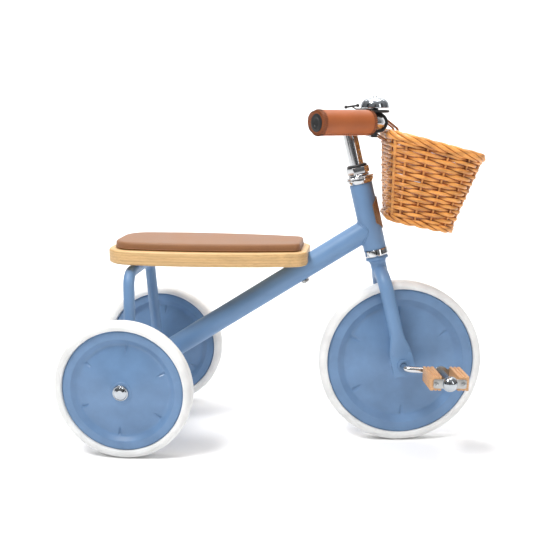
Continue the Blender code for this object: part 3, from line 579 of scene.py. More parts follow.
def bead(shape, line):
    """A weld bead with a slight ripple along a closed line."""
    shape.sweep(resample(line, 150), lambda i: 0.0014 + 0.00025 * sin(i * 1.5), 10, closed=True)


AXLE_TUBE = (REAR_AXLE, Vector((0, 1, 0)), AXLE_TUBE_RADIUS)
HEAD_TUBE = (FRONT_AXLE, STEERING.to_3x3() @ UP, HEAD_RADIUS)
joint = STEERING @ (UP * MAIN_JOINT)
slope = (joint - REAR_AXLE).normalized()
behind = mitred_ring(REAR_AXLE, -slope, MAIN_RADIUS, AXLE_TUBE)
ahead = mitred_ring(joint, slope, MAIN_RADIUS, HEAD_TUBE)


def ring_by_angle(points, along):
    """The same ring in order of the angle round a fixed frame, so that two rings match."""
    up = Vector((0, 1, 0)).cross(along).normalized()

    def angle(p):
        away = p - REAR_AXLE
        return atan2(away.dot(Vector((0, 1, 0))), away.dot(up))

    return sorted(points, key=angle)


rings = [ring_by_angle(behind, slope), ring_by_angle(ahead, slope)]
Shape().loft(rings).stand_in("main_tube", blue_paint, angle=60)
welds = Shape()
bead(welds, behind)
bead(welds, ahead)

hoop_top = BOARD_BOTTOM - BRACKET_THICK - 2 * GAP - HOOP_RADIUS - REAR_RADIUS
lean = -tan(radians(2)) * hoop_top
foot_y, shoulder_y, foot_z = 0.0925, 0.066, 0.004
hoop_corners = [(0, -foot_y, foot_z), (lean, -shoulder_y, hoop_top)]
hoop_corners += [(lean, shoulder_y, hoop_top), (0, foot_y, foot_z)]
Shape(REAR).sweep(soften(hoop_corners, 0.024, 14), HOOP_RADIUS, 40).stand_in("seat_hoop", blue_paint)
for way in (-1, 1):
    foot = REAR @ Vector((0, way * foot_y, foot_z))
    shoulder = REAR @ Vector((lean, way * shoulder_y, hoop_top))
    bead(welds, mitred_ring(foot, foot - shoulder, HOOP_RADIUS, AXLE_TUBE, 64))
welds.piece("frame_weld_beads", blue_paint, "frame", "blue_paint", angle=80)

profile = collar(AXLE_TUBE_RADIUS, 0.0058, -AXLE_TUBE_HALF, AXLE_TUBE_HALF)
Shape(REAR @ ALONG_Y).lathe(profile, steps=72, closed=True).stand_in("rear_axle_tube", blue_paint)
profile = collar(HEAD_RADIUS, 0.0152, HEAD_LOW, HEAD_TOP)
Shape(STEERING).lathe(profile, steps=96, closed=True).stand_in("head_tube", blue_paint)
axle = Shape(REAR @ ALONG_Y).lathe(rod(ROD_RADIUS, -AXLE_HALF, AXLE_HALF), steps=32)
axle.stand_in("rear_axle", chrome)
for side, way in SIDES:
    start = HALF_TRACK + REAR_HUB_HALF + GAP
    deep = CAP_END - start
    face = [(0, deep), (0.005, deep - 0.0002), (0.0095, deep - 0.0016), (0.0105, deep - 0.0031)]
    face += [(0.0111, deep - 0.0025), (0.0121, deep - 0.0028), (0.0125, 0.0014), (0.0125, 0)]
    profile = soften([*face, (ROD_BORE, 0), (ROD_BORE, 0.0038), (0, 0.0038)], 0.0006, 4)
    place = REAR @ move(0, way * start, 0) @ turn(-90 * way, "X")
    Shape(place).lathe(profile).stand_in(f"rear_cap_nut_{side}", soft_chrome)


# Seat

SEAT_BACK_X, SEAT_FRONT_X, SEAT_HALF = -0.047, 0.2755, 0.0735
SEAT_WIDEST_X, SEAT_BOW = 0.075, 0.555


def seat_outline(inset):
    """The seat's plan: bowed sides that draw in towards the front, and round corners."""
    back, front = 0.045 - inset * 0.8, 0.024 - inset * 0.8
    low, high = SEAT_BACK_X + inset, SEAT_FRONT_X - inset
    along = [low, *(low + 0.084 + (high - low - 0.126) * k / 12 for k in range(13)), high]
    side = [(x, SEAT_HALF - SEAT_BOW * (x - SEAT_WIDEST_X) ** 2 - inset) for x in along]
    right = [(x, -y) for x, y in side]
    radii = [back, *[0.05] * 13, front]
    return soften([*right, *reversed(side)], [*radii, *reversed(radii)], 14, closed=True)


bottom = BOARD_BOTTOM - REAR_RADIUS
board = Shape(REAR).slab(seat_outline(0), bottom, bottom + BOARD_THICK, 0.0035, 5)
board = board.stand_in("seat_board", board_wood)
lie = Matrix.Translation(REAR_AXLE) @ slope.to_track_quat("Z", "Y").to_matrix().to_4x4()
carve(board, Shape(lie).lathe(rod(MAIN_RADIUS + 0.0012, 0.2, 0.4), steps=64))
CUSHION_LOW = bottom + BOARD_THICK + GAP


def cushion_mesh():
    """A flat pad with upright sides and a close crease round its top."""
    high = CUSHION_LOW + CUSHION_THICK
    levels = [(0.0, 0.0012), (0.06, 0.0004), (0.18, 0.0), (0.55, 0.0), (0.78, 0.0004)]
    levels += [(0.88, 0.0011), (0.945, 0.0023), (0.985, 0.0044), (1.0, 0.009)]
    rings = []
    for share, inset in levels:
        outline = resample(seat_outline(0.011 + inset), 160)
        rings.append([Vector((p.x, p.y, CUSHION_LOW + CUSHION_THICK * share)) for p in outline])
    centre = Vector(((SEAT_BACK_X + SEAT_FRONT_X) / 2, 0, 0))
    edge = rings[-1]
    for scale in (0.8, 0.6, 0.4, 0.2):
        rings.append([centre + Vector(((p.x - centre.x) * scale, p.y * scale, high)) for p in edge])
    return Shape(REAR).loft(rings)


pad = cushion_mesh().stand_in("seat_cushion", cushion_hide, angle=80)
seam = [Vector((p.x, p.y, CUSHION_LOW + 0.0023)) for p in resample(seat_outline(0.0107), 240)]
piping = Shape(REAR).sweep(seam, 0.00075, 8, closed=True, up=UP)
piping.piece("seat_cushion_piping", cushion_hide, "frame", "cushion", angle=80)


# Headset


def headset():
    """Cups, race, cone, washer, lock nut and seal, and the steerer that runs through them."""
    top, low, crown = HEAD_TOP + GAP, HEAD_LOW - GAP, CROWN_TOP + GAP
    snug, clear, skirt, inside = 0.0131, 0.0134, 0.0149, 0.0118
    cup_high, ring_high, nut_high = 0.0078, 0.0034, 0.0106
    turned = []

    def ring(node, look, z, bore, *outside, place=STEERED):
        """A ring at a height, from the radii and heights down its outside."""
        corners = [(r, z + height) for r, height in outside]
        turned.append((node, [*corners, (bore, corners[-1][1]), (bore, corners[0][1])], place, look))

    outside = [(0.0215, cup_high), (0.0215, 0.005), (0.0186, 0), (skirt, 0), (skirt, -0.008)]
    ring("headset_upper_cup", chrome, top, clear, *outside, place=STEERING)
    outside = [(skirt, 0.008), (skirt, 0), (0.0195, 0), (0.02, -0.0085), (0.0188, -0.0107)]
    ring("headset_lower_cup", chrome, low, clear, *outside, place=STEERING)
    race = low - 0.011 - GAP
    ring("crown_race", blue_paint, race, snug, (0.0165, 0), (0.018, -0.003), (0.018, crown - race))
    stack = top + cup_high + 2 * GAP
    ring("headset_cone", chrome, stack, snug, (0.0205, ring_high), (0.0225, 0.0022), (0.0225, 0))
    stack += ring_high + GAP
    ring("headset_washer", chrome, stack, snug, (0.015, ring_high), (0.0168, 0.0018), (0.016, 0))
    stack += ring_high + GAP
    hexagon = soften(arc((0, 0), 0.0182, 0, 300, 5), 0.0008, 3, True)
    nut = Shape(STEERED).slab(resample(hexagon, 96), stack, stack + nut_high, 0.0009)
    nut.stand_in("headset_locknut", chrome)
    stack += nut_high + GAP
    ring("headset_seal", black, stack, inside, (0.014, 0.0036), (0.016, 0.002), (0.016, 0))
    steerer = [(0.0128, stack), (inside, stack), (inside, crown), (0.0128, crown)]
    turned.append(("fork_steerer", steerer, STEERED, blue_paint))
    for node, profile, place, look in turned:
        Shape(place).lathe(soften(profile, 0.0005, 3, True), closed=True).stand_in(node, look)


headset()


# Badge: a plain leather patch on the head tube


def badge():
    half, shoulder, tip, thick, sole = 0.0172, 0.015, 0.027, 0.0016, HEAD_RADIUS + GAP
    corners = [(-tip, 0), (-shoulder, -half), (shoulder, -half)]
    corners += [(-x, -y) for x, y in corners]
    outline = resample(soften(corners, 0.003, 4, True), 120)

    def wrap(p, height):
        r = sole + height
        angle = p.y / sole
        return (r * cos(angle), r * sin(angle), BADGE_MIDDLE + p.x)

    levels = [(0, 0.0003), (0.0004, 0), (thick - 0.0004, 0), (thick, 0.0005)]
    levels += [(thick, 0.0014), (thick - 0.0002, 0.0019), (thick, 0.0024)]
    rings = [[wrap(p, height) for p in inset_loop(outline, inset)] for height, inset in levels]
    for share in (0.7, 0.5, 0.3, 0.1):
        rings.append([wrap(p * share, thick) for p in outline])
    Shape(STEERING).loft(rings).stand_in("head_badge", badge_hide, angle=50)
    stitches = Shape(STEERING)
    edge = resample(inset_loop(outline, 0.0019), 34)
    for i, p in enumerate(edge):
        q = p.lerp(edge[(i + 1) % len(edge)], 0.6)
        path = []
        for t in (0, 0.3, 0.7, 1):
            path.append(wrap(p.lerp(q, t), thick - 0.0001 + 0.0003 * sin(pi * t)))
        stitches.sweep(path, 0.00028, 6)
    stitches.piece("head_badge_stitches", thread, "frame", "strap_leather", angle=80)


badge()


# Fork and crank

LEG_END = 0.056
arch = [(0, y, z) for y, z in arc((0, 0.118), LEG_Y, 180, 0, 28)]
fork = Shape(STEERED).sweep([(0, -LEG_Y, LEG_END), *arch, (0, LEG_Y, LEG_END)], 0.011, 40)
crown = [(0, CROWN_TOP), (0.014, CROWN_TOP), (0.014, CROWN_TOP - 0.002), (0.0125, CROWN_TOP - 0.006)]
fork.lathe(soften([*crown, (0.0125, 0.146), (0, 0.146)], 0.001))
# Height, half width and half thickness of each leg where it flattens into its dropout
FLARE = [(LEG_END, 0.011, 0.011), (0.047, 0.0117, 0.0103), (0.038, 0.0136, 0.0082), (0.03, 0.0158, 0.0058)]
FLARE += [(0.023, 0.0172, 0.004), (0.017, 0.0178, 0.003), (0.008, 0.0178, 0.0024)]
for way in (-1, 1):
    corner_radii = [0.003, 0.003, 0.007, 0.007][::-way]
    outline = box_outline(-0.018, 0.018, 0.019, corner_radii, 6)
    dropout = Shape(STEERED @ move(0, way * LEG_Y, 0.001) @ turn(90, "X"))
    fork.add(dropout.slab(outline, -DROPOUT_HALF, DROPOUT_HALF, 0.0008))
    rings = []
    for z, wide, thick in FLARE:
        rings.append([(wide * cos(a), way * LEG_Y + thick * sin(a), z) for a in circle(40)])
    fork.loft(rings)
fork.stand_in("fork", blue_paint)
for side, way in SIDES:
    inner = LEG_Y + DROPOUT_HALF + GAP
    outer = inner + 0.002
    profile = [(0.0098, outer), (0.0102, inner), (ROD_BORE, inner), (ROD_BORE, outer)]
    bush = Shape(STEERED @ turn(-90 * way, "X"))
    bush.lathe(soften(profile, 0.0005, 3, True), steps=48, closed=True)
    bush.stand_in(f"fork_bush_{side}", bush_blue)
crank_half = [(-CRANK, PEDAL_OUTER - 0.001, 0), (-CRANK, ARM_Y, 0), (0, ARM_Y, 0)]
crank_corners = [(-x, -y, z) for x, y, z in crank_half] + crank_half[::-1]
Shape(FRONT).sweep(soften(crank_corners, 0.009, 10), ROD_RADIUS, 32).stand_in("crank", chrome)


# Pedals

BLOCK_X = 0.0207


def grooved_end():
    """The end of a pedal block, with ridges along its top and bottom."""
    half, high, depth = 0.00825, 0.0111, 0.0016
    edge = [(-half, high)]
    for i in (1, 2):
        x = -half + i * 2 * half / 3
        for dx, y in ((-0.0013, high), (-0.0004, high - depth), (0.0004, high - depth), (0.0013, high)):
            edge.append((x + dx, y))
    edge.append((half, high))
    return soften(edge + [(-x, -y) for x, y in edge], 0.0005, 3, True)


def dog_bone():
    """The outline of an end plate: a disc with a band across it."""
    middle, half, band = 0.0113, 0.025, 0.007
    reach = degrees(asin(band / middle))
    upper = arc((0, 0), middle, reach, 180 - reach, 12)
    corners = [(half, -band), (half, band), *upper, (-half, band), (-half, -band)]
    corners += [(-x, -y) for x, y in upper]
    radii = [0.003 if abs(x) == half else 0.0 for x, _ in corners]
    return soften(corners, radii, 5, True)


def screw_head(place):
    """A low dome in two halves, with a slot between them."""
    head, radius = Shape(), 0.0032
    for facing in (35, 215):
        rings = []
        for z, shrink in ((0, 0), (0.0006, 0), (0.0011, 0.0008), (0.0013, 0.0016)):
            scale = 1 - shrink / radius
            outline = arc((0, 0.00045), radius, 0, 180, 16)
            rings.append([(x * scale, max(0.0004, y * scale), z) for x, y in outline])
        head.add(Shape(place @ turn(facing, "Z")).loft(rings))
    return head


def pedal(side, way):
    """Grooved wooden blocks between screwed end plates on a sleeve, with a dust cap."""
    body = f"pedal_{side}"
    level = turn(PEDAL_TILT - CRANK_DROP, "Y")
    out = FRONT @ move(-way * CRANK, 0, 0) @ level @ turn(-90 * way, "X")
    inner, outer, thick = PEDAL_INNER, PEDAL_OUTER, 0.002
    low, high = inner + thick + GAP, outer - thick - GAP
    for place, x in (("front", BLOCK_X), ("rear", -BLOCK_X)):
        rings = []
        for z, scale in ((low, 0.95), (low + 0.0006, 1), (high - 0.0006, 1), (high, 0.95)):
            rings.append([(p.x * scale, p.y * scale, z) for p in grooved_end()])
        Shape(out @ move(x, 0, 0)).loft(rings).stand_in(f"{body}_block_{place}", pedal_wood)
    cage = Shape(out)
    cage.slab(dog_bone(), inner, inner + thick, 0.0005)
    cage.slab(dog_bone(), outer - thick, outer, 0.0005)
    cage.lathe(collar(0.0066, ROD_BORE, inner, outer, 0.0003), steps=40, closed=True)
    cage.lathe(collar(0.0078, 0.0054, inner - 0.0022, inner + 0.0004, 0.0004), steps=40, closed=True)
    cage.stand_in(f"{body}_cage", steel)
    screws = Shape()
    for x in (-BLOCK_X, BLOCK_X):
        screws.add(screw_head(out @ move(x, 0, outer)))
        screws.add(screw_head(out @ move(x, 0, inner) @ turn(180, "X")))
    screws.piece(f"{body}_screws", steel, body, "chrome")
    angles = [radians(a) for a in range(10, 91, 10)]
    dome = [(0, 0.0082), *[(0.0112 * sin(a), 0.0082 * cos(a)) for a in angles]]
    dome += [(0.0119, 0.0), (0.0119, -0.0005), (0, -0.0005)]
    Shape(out @ move(0, 0, outer + 0.0008)).lathe(dome).stand_in(f"{body}_cap", soft_chrome)


for side, way in SIDES:
    pedal(side, way)


# Stem and handlebar

quill_top = BAR_HEIGHT + 0.006
quill = Shape(STEERED)
quill.lathe(soften([(0, 0.215), (0.0114, 0.215), (0.0114, quill_top), (0.0, quill_top)], 0.002, 5))
clamp_profile = collar(0.0155, 0.0115, -0.018, 0.018, 0.0012, 4)
quill.add(
    Shape(COCKPIT @ turn(90, "Y")).lathe([(0.0105, 0.002), (0.0105, 0.03)], steps=48),
    Shape(COCKPIT @ move(BAR_FORWARD, 0, 0) @ ALONG_Y).lathe(clamp_profile, steps=64, closed=True),
)
quill.stand_in("quill_stem", chrome)
head = BAR_HEIGHT + 0.0062
socket = [(0, head + 0.0004), (0.0024, head + 0.0004), (0.0028, head + 0.0024)]
rim = [(0.0058, head + 0.0024), (0.0064, head + 0.0012), (0.0064, head - 0.004), (0, head - 0.004)]
Shape(STEERED).lathe(soften([*socket, *rim], 0.0003), steps=36).stand_in("stem_bolt", steel)

SWEEP_DEGREES, BEND_RADIUS = 55, 0.032
SWEEP = radians(SWEEP_DEGREES)
bend = arc((BAR_FORWARD - BEND_RADIUS, 0.055), BEND_RADIUS, 0, SWEEP_DEGREES, 14)
inner_end = Vector((*bend[-1], 0))
bar_end = inner_end + Vector((-sin(SWEEP), cos(SWEEP), 0)) * 0.093
half = [(x, y, 0) for x, y in bend] + [tuple(bar_end)]
path = [(x, -y, 0) for x, y, _ in reversed(half)] + half
Shape(COCKPIT).sweep(path, BAR_RADIUS, 40, up=UP).stand_in("handlebar", chrome)


def grip(side, way):
    """Leather wrapped round the bar, laced along its underside and whipped at both ends."""
    length, radius, inner = 0.097, 0.0185, BAR_RADIUS + GAP
    place = COCKPIT @ move(inner_end.x, way * inner_end.y, 0)
    place = place @ turn(SWEEP_DEGREES * way, "Z") @ turn(-90 * way, "X")
    hem = [(inner, 0), (radius - 0.0012, 0), (radius, 0.0015), (radius - 0.0001, 0.005)]
    hem += [(radius - 0.0007, 0.0062), (radius, 0.0075)]
    profile = soften([*hem, *[(r, length - z) for r, z in reversed(hem)]], 0.001, 4, True)
    seam_angle = radians(62 * way)
    rings = []
    for r, z in profile:
        ring = []
        for a in circle(120):
            away = abs((a - seam_angle + pi) % (2 * pi) - pi)
            dip = 0.0009 * exp(-((away / 0.05) ** 2)) - 0.0002 * exp(-(((away - 0.14) / 0.06) ** 2))
            sunk = r - dip if r > inner + 0.002 else r
            ring.append((sunk * cos(a), sunk * sin(a), z))
        rings.append(ring)
    Shape(place).loft(rings, closed=True).stand_in(f"grip_{side}", grip_hide, angle=50)
    lace, laces = Shape(place), 24
    for i in range(laces):
        z = 0.0045 + (length - 0.009) * i / (laces - 1)
        points = []
        for t in (0, 0.25, 0.5, 0.75, 1):
            a = seam_angle + (t - 0.5) * 0.26
            r = radius + 0.00015 - 0.0004 * abs(2 * t - 1)
            points.append((r * cos(a), r * sin(a), z + 0.0018 * (t - 0.5)))
        lace.sweep(points, 0.00042, 6)
    whip = ((-0.004, -0.00015), (-0.0006, -0.0001), (0.0002, 0.0014), (0.0001, 0.006))
    for end, inward in ((0.0, 1), (length, -1)):
        for a in circle(44):
            points = []
            for dr, dz in whip:
                r, slant = radius + dr, a + dz * 16
                points.append((r * cos(slant), r * sin(slant), end + inward * dz))
            lace.sweep(points, 0.00045, 6)
    lace.piece(f"grip_{side}_lacing", thread, "steering", "grip_leather", angle=80)
    face = [(0, 0.0002), (0.0058, 0.0002), (0.0064, 0.001), (0.0086, 0.0017), (0.013, 0.0012)]
    face += [(0.0132, 0.0002), (0.0108, 0.0002), (0.0108, -0.003), (0, -0.003)]
    plug = Shape(place).lathe(soften([(r, length + z) for r, z in face], 0.0004), steps=48)
    plug.stand_in(f"grip_plug_{side}", black)


for side, way in SIDES:
    grip(side, way)


# Bell


def bell():
    """A clamp with a post, a dome on the post, and a striking lever that turns beneath the dome."""
    place, on_bar = COCKPIT @ move(0.038, BELL_Y, 0), COCKPIT @ move(BAR_FORWARD, BELL_Y, 0)
    post = [(0, 0.0352), (0.0026, 0.0352), (0.0026, 0.019), (0.0204, 0.0188), (0.022, 0.018)]
    saucer = [(0.022, 0.0158), (0.0196, 0.0146), (0.009, 0.0142), (0, 0.0142)]
    base = Shape(place).lathe(soften([*post, *saucer], 0.0005, 4))
    ear = Shape(on_bar @ move(-0.005, 0, 0))
    base.add(
        Shape(on_bar @ ALONG_Y).lathe(collar(0.0153, 0.0114, -0.0055, 0.0055, 0.0012), steps=64, closed=True),
        Shape(place).slab(box_outline(-0.009, 0.01, 0.0055, 0.003, 5), 0.0115, 0.0165, 0.0008),
        ear.slab(box_outline(-0.0045, 0.0045, 0.0055, 0.0012, 4), -0.022, -0.0125, 0.0008),
    )
    base.stand_in("bell_base", black)
    profile = [(0, 0.0165), (0.0015, 0.0165), (0.0015, 0.0047), (0.0034, 0.0047)]
    profile += [(0.0034, 0.0022), (0.0022, 0.0015), (0, 0.0015)]
    screw = Shape(on_bar @ move(-0.0145, 0, -0.0187) @ turn(90, "Y"))
    screw.lathe(soften(profile, 0.0003), steps=32).stand_in("bell_screw", chrome)

    low, wide, high, wall = 0.0215, 0.0213, 0.0158, 0.0009
    crown = low + high

    def bowl(r, h, angles):
        """A dome with full shoulders."""
        angles = [radians(a) for a in angles]
        return [(r * cos(a) ** 0.72, low + h * sin(a) ** 0.72) for a in angles]

    inside = bowl(wide - wall, high - wall, range(0, 90, 6))
    lip = [(wide - wall, low), (wide, low), (wide + 0.0003, low + 0.0004), (wide + 0.0003, low + 0.0014)]
    knob = [(0.0045, -0.0001), (0.0034, 0.0004), (0.003, 0.0016)]
    knob += [(0.0024, 0.0024), (0.0012, 0.0029), (0, 0.003)]
    outside = [*bowl(wide, high, range(8, 82, 4)), *[(r, crown + z) for r, z in knob]]
    dome = Shape(place).lathe([(0, crown - wall), *reversed(inside), *lip, *outside], steps=96)
    dome.stand_in("bell_dome", soft_chrome, angle=50)
    lever = Shape(place)
    tip = Vector((-0.0345, 0, 0.0241))
    lever.sweep(soften([(-0.004, 0, 0.0201), (-0.0285, 0, 0.0201), tip], 0.003, 5), 0.001, 16)
    skew = Matrix.Rotation(1.0, 4, "Z")
    ends = [skew @ Vector((0, y, -0.12 * y)) + tip for y in (-0.01, 0.01)]
    lever.sweep([ends[0], ends[0].lerp(ends[1], 0.5), ends[1]], 0.0015, 16)
    ball = arc((0, 0), 0.0026, 90, -90, 12)
    for end in ends:
        lever.lathe(ball, Matrix.Translation(end), 24)
    lever.lathe(collar(0.0056, 0.003, 0.0191, 0.0211, 0.0003), steps=40, closed=True)
    lever.stand_in("bell_lever", black)


bell()


# Basket

BASKET_X, BASKET_Z, BASKET_TILT = 0.111, -0.1585, 13
BASKET = COCKPIT @ move(BASKET_X, 0, BASKET_Z) @ turn(BASKET_TILT, "Y")
BASKET_HEIGHT = 0.132
# Back, front, half width and corner radius of the basket at its bottom and at its top
BOTTOM = (-0.049, 0.047, 0.068, 0.026)
TOP = (-0.084, 0.0645, 0.095, 0.038)
SLOPES = (-0.03, 0.035)
STAKES = 18
PER_STAKE = 8


def basket_loop(height, grow, count):
    """Even points round the basket at a height, moved outwards."""
    share = height / BASKET_HEIGHT
    back, front, half, corner = [a + (b - a) * share for a, b in zip(BOTTOM, TOP)]
    loop = box_outline(back - grow, front + grow, half + grow, corner + grow, 8)
    slope = SLOPES[0] + (SLOPES[1] - SLOPES[0]) * share
    return [Vector((p.x, p.y, height - slope * p.x)) for p in resample(loop, count)]


def outward(loop, i):
    along = (loop[(i + 1) % len(loop)] - loop[i - 1]).normalized()
    return Vector((along.y, -along.x, 0)) * -1


def rope(shape, loop, strands, turns, reach, radius):
    """Strands twisted together along a closed loop."""
    count = len(loop)
    for k in range(strands):
        path = []
        for i, p in enumerate(loop):
            angle = 2 * pi * (turns * i / count + k / strands)
            lift = UP * (reach * sin(angle))
            path.append(p + outward(loop, i) * (reach * cos(angle)) + lift)
        thickness = lambda i, k=k: radius * (1 + 0.05 * sin(i * 0.21 + k))
        shape.sweep(path, thickness, 9, closed=True, up=UP)


def weavers(count):
    """Rows of flat rods that pass in front of one stake and behind the next."""
    weave = Shape(BASKET)
    rows, low, high = 19, 0.0125, 0.1165
    for row in range(rows):
        loop = basket_loop(low + (high - low) * row / (rows - 1), -0.003, count)
        path = []
        for i, p in enumerate(loop):
            wave = cos(pi * STAKES * i / count + pi * row)
            wander = UP * (0.0004 * sin(i * 0.37 + row * 2.1))
            path.append(p + outward(loop, i) * (0.0028 * wave + 0.0003 * noise(row)) + wander)
        size = 0.0029 + 0.0001 * noise(row, 3)
        thickness = lambda i, s=size, r=row: s * (1 + 0.06 * sin(i * 0.9 + r))
        weave.sweep(path, thickness, 8, closed=True, up=UP, flat=0.72)
    weave.piece("basket_weavers", willow, "steering", "wicker", "basket", angle=80)


def stakes(count):
    """Upright rods, and a thicker post near each corner."""
    ribs = Shape(BASKET)
    loops = [basket_loop(0.004 + 0.118 * k / 10, -0.003, count) for k in range(11)]
    for k in range(STAKES):
        path = [loop[k * PER_STAKE] for loop in loops]
        ribs.sweep(path, lambda i, k=k: 0.0019 + 0.0002 * noise(k, 5), 10)
    for share in (0.13, 0.399, 0.63, 0.899):
        ribs.sweep([loop[round(share * count)] for loop in loops], 0.0036, 12)
    ribs.piece("basket_stakes", willow, "steering", "wicker", angle=80)


def basket_floor():
    """Rods across the bottom, woven over and under seven that run fore and aft."""
    base = Shape(BASKET)
    back, front, half_width, corner = BOTTOM
    level, pitch, columns, steps = 0.0062, 0.018, 19, 56
    for k in range(-3, 4):
        base.sweep([(x, pitch * k, level) for x in (back + 0.002, 0, front - 0.002)], 0.0017, 8)
    for k in range(columns):
        x = back + 0.0045 + (front - back - 0.009) * k / (columns - 1)
        inset = min(max(0.0, abs(x - (back + front) / 2) - 0.0225), corner)
        edge = half_width - 0.003 - (corner - sqrt(corner**2 - inset**2))
        path = []
        for i in range(steps + 1):
            y = -edge + 2 * edge * i / steps
            path.append((x, y, level + 0.0014 * cos(pi * y / pitch + pi * k)))
        base.sweep(path, 0.0021, 8, up=(1, 0, 0), flat=0.8)
    base.piece("basket_base", willow, "steering", "wicker", angle=80)


def basket():
    weavers(STAKES * PER_STAKE)
    stakes(STAKES * PER_STAKE)
    rim = Shape(BASKET)
    rope(rim, basket_loop(BASKET_HEIGHT - 0.0075, -0.0035, 600), 5, 5, 0.0045, 0.003)
    rope(rim, basket_loop(0.0062, -0.0012, 480), 3, 7, 0.0029, 0.0028)
    rim.piece("basket_rim_and_foot", willow, "steering", "wicker", angle=80)
    basket_floor()


basket()


STRAP_THICK, STRAP_WIDE, STRAP_Y = 0.0024, 0.014, 0.03


def strap_line():
    """A strap's middle line: round the bar, down inside the basket's back and out under the rim."""
    tilt = radians(BASKET_TILT)
    under_rim = BASKET_HEIGHT - 0.015
    back = BOTTOM[0] + (TOP[0] - BOTTOM[0]) * under_rim / BASKET_HEIGHT
    inside, outside = back + 0.0125, back - 0.0045
    rise = -SLOPES[1] * back
    loop = arc((BAR_FORWARD, 0), BAR_RADIUS + GAP + STRAP_THICK / 2, 230, 54, 14)
    for x, z in ((inside, BASKET_HEIGHT + 0.002), (inside, under_rim - 0.003), (outside, under_rim - 0.003)):
        z += rise
        turned = (x * cos(tilt) + z * sin(tilt), z * cos(tilt) - x * sin(tilt))
        loop.append((BASKET_X + turned[0], BASKET_Z + turned[1]))
    corners = [0.001] * 15 + [0.006, 0.003, 0.003]
    return resample(soften([(x, 0, z) for x, z in loop], corners, 5, True), 110)


def straps():
    """Leather loops from the bar, through the basket under its rim, with a buckle each."""
    half, side_y, surface = STRAP_THICK / 2, STRAP_WIDE / 2, STRAP_THICK / 2 + 0.00005
    section = collar(side_y, -side_y, -half, half, 0.0007)
    loop = strap_line()
    outs = []
    for i, p in enumerate(loop):
        along = (loop[(i + 1) % len(loop)] - loop[i - 1]).normalized()
        out = Vector((along.z, 0, -along.x))
        outs.append(out if out.dot(p - Vector((0.055, 0, -0.03))) >= 0 else -out)
    rings = [[p + Vector((0, q[0], 0)) + out * q[1] for q in section] for p, out in zip(loop, outs)]
    for side, way in SIDES:
        place = COCKPIT @ move(0, way * STRAP_Y, 0)
        name = f"basket_strap_{side}"
        Shape(place).loft(rings, closed=True).stand_in(name, strap_hide, angle=50)
        stitches = Shape(place)
        for i in range(0, len(loop) - 1, 2):
            for edge in (-0.0055, 0.0055):
                first = loop[i] + outs[i] * surface + Vector((0, edge, 0))
                last = first.lerp(loop[i + 1] + outs[i + 1] * surface + Vector((0, edge, 0)), 0.9)
                middle = first.lerp(last, 0.5) + outs[i] * 0.00012
                stitches.sweep([first - outs[i] * 0.0002, middle, last - outs[i] * 0.0002], 0.0003, 6)
        stitches.piece(f"{name}_stitches", thread, "steering", "strap_leather", angle=80)
        seat = 24
        along, out = (loop[seat + 1] - loop[seat - 1]).normalized(), outs[seat]
        corners = []
        for a, b in ((-0.0055, -0.0088), (0.0055, -0.0088), (0.0055, 0.0088), (-0.0055, 0.0088)):
            corners.append(loop[seat] + along * a + Vector((0, b, 0)) + out * (half + 0.0006))
        buckle = Shape(place).sweep(soften(corners, 0.002, 4, True), 0.0009, 12, closed=True)
        tongue = ((-0.0055, 0.0016), (0, 0.0018), (0.0062, 0.0014))
        buckle.sweep([loop[seat] + along * a + out * (half + lift) for a, lift in tongue], 0.0007, 10)
        buckle.piece(f"{name}_buckle", steel, "steering", "chrome", angle=60)


straps()


# CAD nodes that keep their own shape

for name in ("seat_bracket", "seat_bolt_front", "seat_bolt_rear_right", "seat_bolt_rear_left"):
    NODES[name].data.materials.clear()
    NODES[name].data.materials.append(blue_paint if name == "seat_bracket" else steel)


# Studio


def matt(name, low, high):
    look = Look(name, (high, high, high), 0.9)
    look.colour(look.ramp(look.noise(2, 2), (0.3, low), (0.7, high)))
    return look.material


sweep_line = soften([(-4, 0, 0), (3.4, 0, 0), (3.4, 0, 4.5)], 1.2, 12)
floor_mesh = bpy.data.meshes.new("floor")
floor_points = [(x, y, z) for y, _, z in [tuple(p) for p in sweep_line] for x in (-6, 6)]
floor_faces = [(i, i + 1, i + 3, i + 2) for i in range(0, len(floor_points) - 2, 2)]
floor_mesh.from_pydata(floor_points, [], floor_faces)
floor_mesh.shade_smooth()
floor_mesh.materials.append(matt("floor", 0.92, 0.94))
linked("floor", floor_mesh)


def area_light(name, place, target, size, power):
    data = bpy.data.lights.new(name, "AREA")
    data.shape, data.size, data.size_y = "RECTANGLE", *size
    data.energy = power
    light = linked(name, data)
    light.location = place
    light.rotation_euler = (Vector(target) - Vector(place)).to_track_quat("-Z", "Y").to_euler()


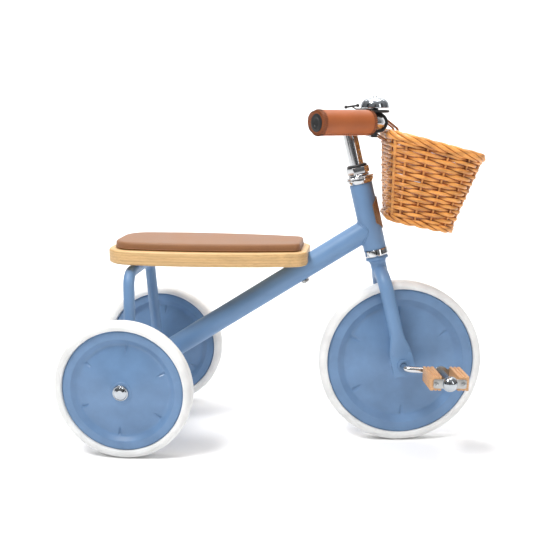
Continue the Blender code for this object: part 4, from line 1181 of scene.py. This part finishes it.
middle = (0, 0, 0.28)
area_light("key", (-1.0, -1.3, 2.6), middle, (0.9, 0.8), 60)
area_light("top", (0.1, 0.2, 2.4), middle, (2.0, 1.2), 30)
area_light("fill", (1.9, -1.6, 1.0), middle, (0.8, 1.4), 10)
area_light("backdrop", (0, 1.6, 2.8), (0, 3.2, 0.8), (4.0, 1.0), 86)


def dark_card(name, place, width, height):
    """A black card that only reflections see, for dark bands in the chrome."""
    card = Shape(Matrix.Translation(place) @ (-Vector(place)).to_track_quat("Z", "Y").to_matrix().to_4x4())
    card.slab(box_outline(-width / 2, width / 2, height / 2, 0.01, 2), 0, 0.01)
    card = card.piece(name, card_black, None, None)
    card.visible_camera = card.visible_diffuse = card.visible_shadow = card.visible_transmission = False


card_black = matt("card", 0.008, 0.012)
dark_card("card_left", (-1.5, -1.0, 0.6), 0.5, 1.6)
dark_card("card_right", (1.5, -0.9, 0.6), 0.5, 1.6)
dark_card("card_front", (0.35, -2.3, 0.7), 0.45, 1.6)

world = bpy.data.worlds.new("studio")
bpy.context.scene.world = world
world.use_nodes = True
sky = world.node_tree
direction = sky.nodes.new("ShaderNodeTexCoord").outputs["Generated"]
height = sky.nodes.new("ShaderNodeSeparateXYZ")
sky.links.new(direction, height.inputs["Vector"])
grade = sky.nodes.new("ShaderNodeValToRGB")
sky.links.new(height.outputs["Z"], grade.inputs["Fac"])
for element, (at, level) in zip(grade.color_ramp.elements, ((0.0, 0.28), (0.8, 1.0))):
    element.position, element.color = at, (level, level, level * 1.02, 1)
background = sky.nodes["Background"]
sky.links.new(grade.outputs["Color"], background.inputs["Color"])
background.inputs["Strength"].default_value = 0.46
bpy.context.scene.view_settings.view_transform = "Standard"

camera_data = bpy.data.cameras.new("camera")
camera_data.sensor_width, camera_data.lens = 36, 58.76
camera = linked("camera", camera_data)
camera.location = (REAR_AXLE.x + 0.374, -1.3834, 0.549)
camera.rotation_euler = (radians(79.16), 0, radians(6.9))
bpy.context.scene.camera = camera

bpy.context.view_layer.update()
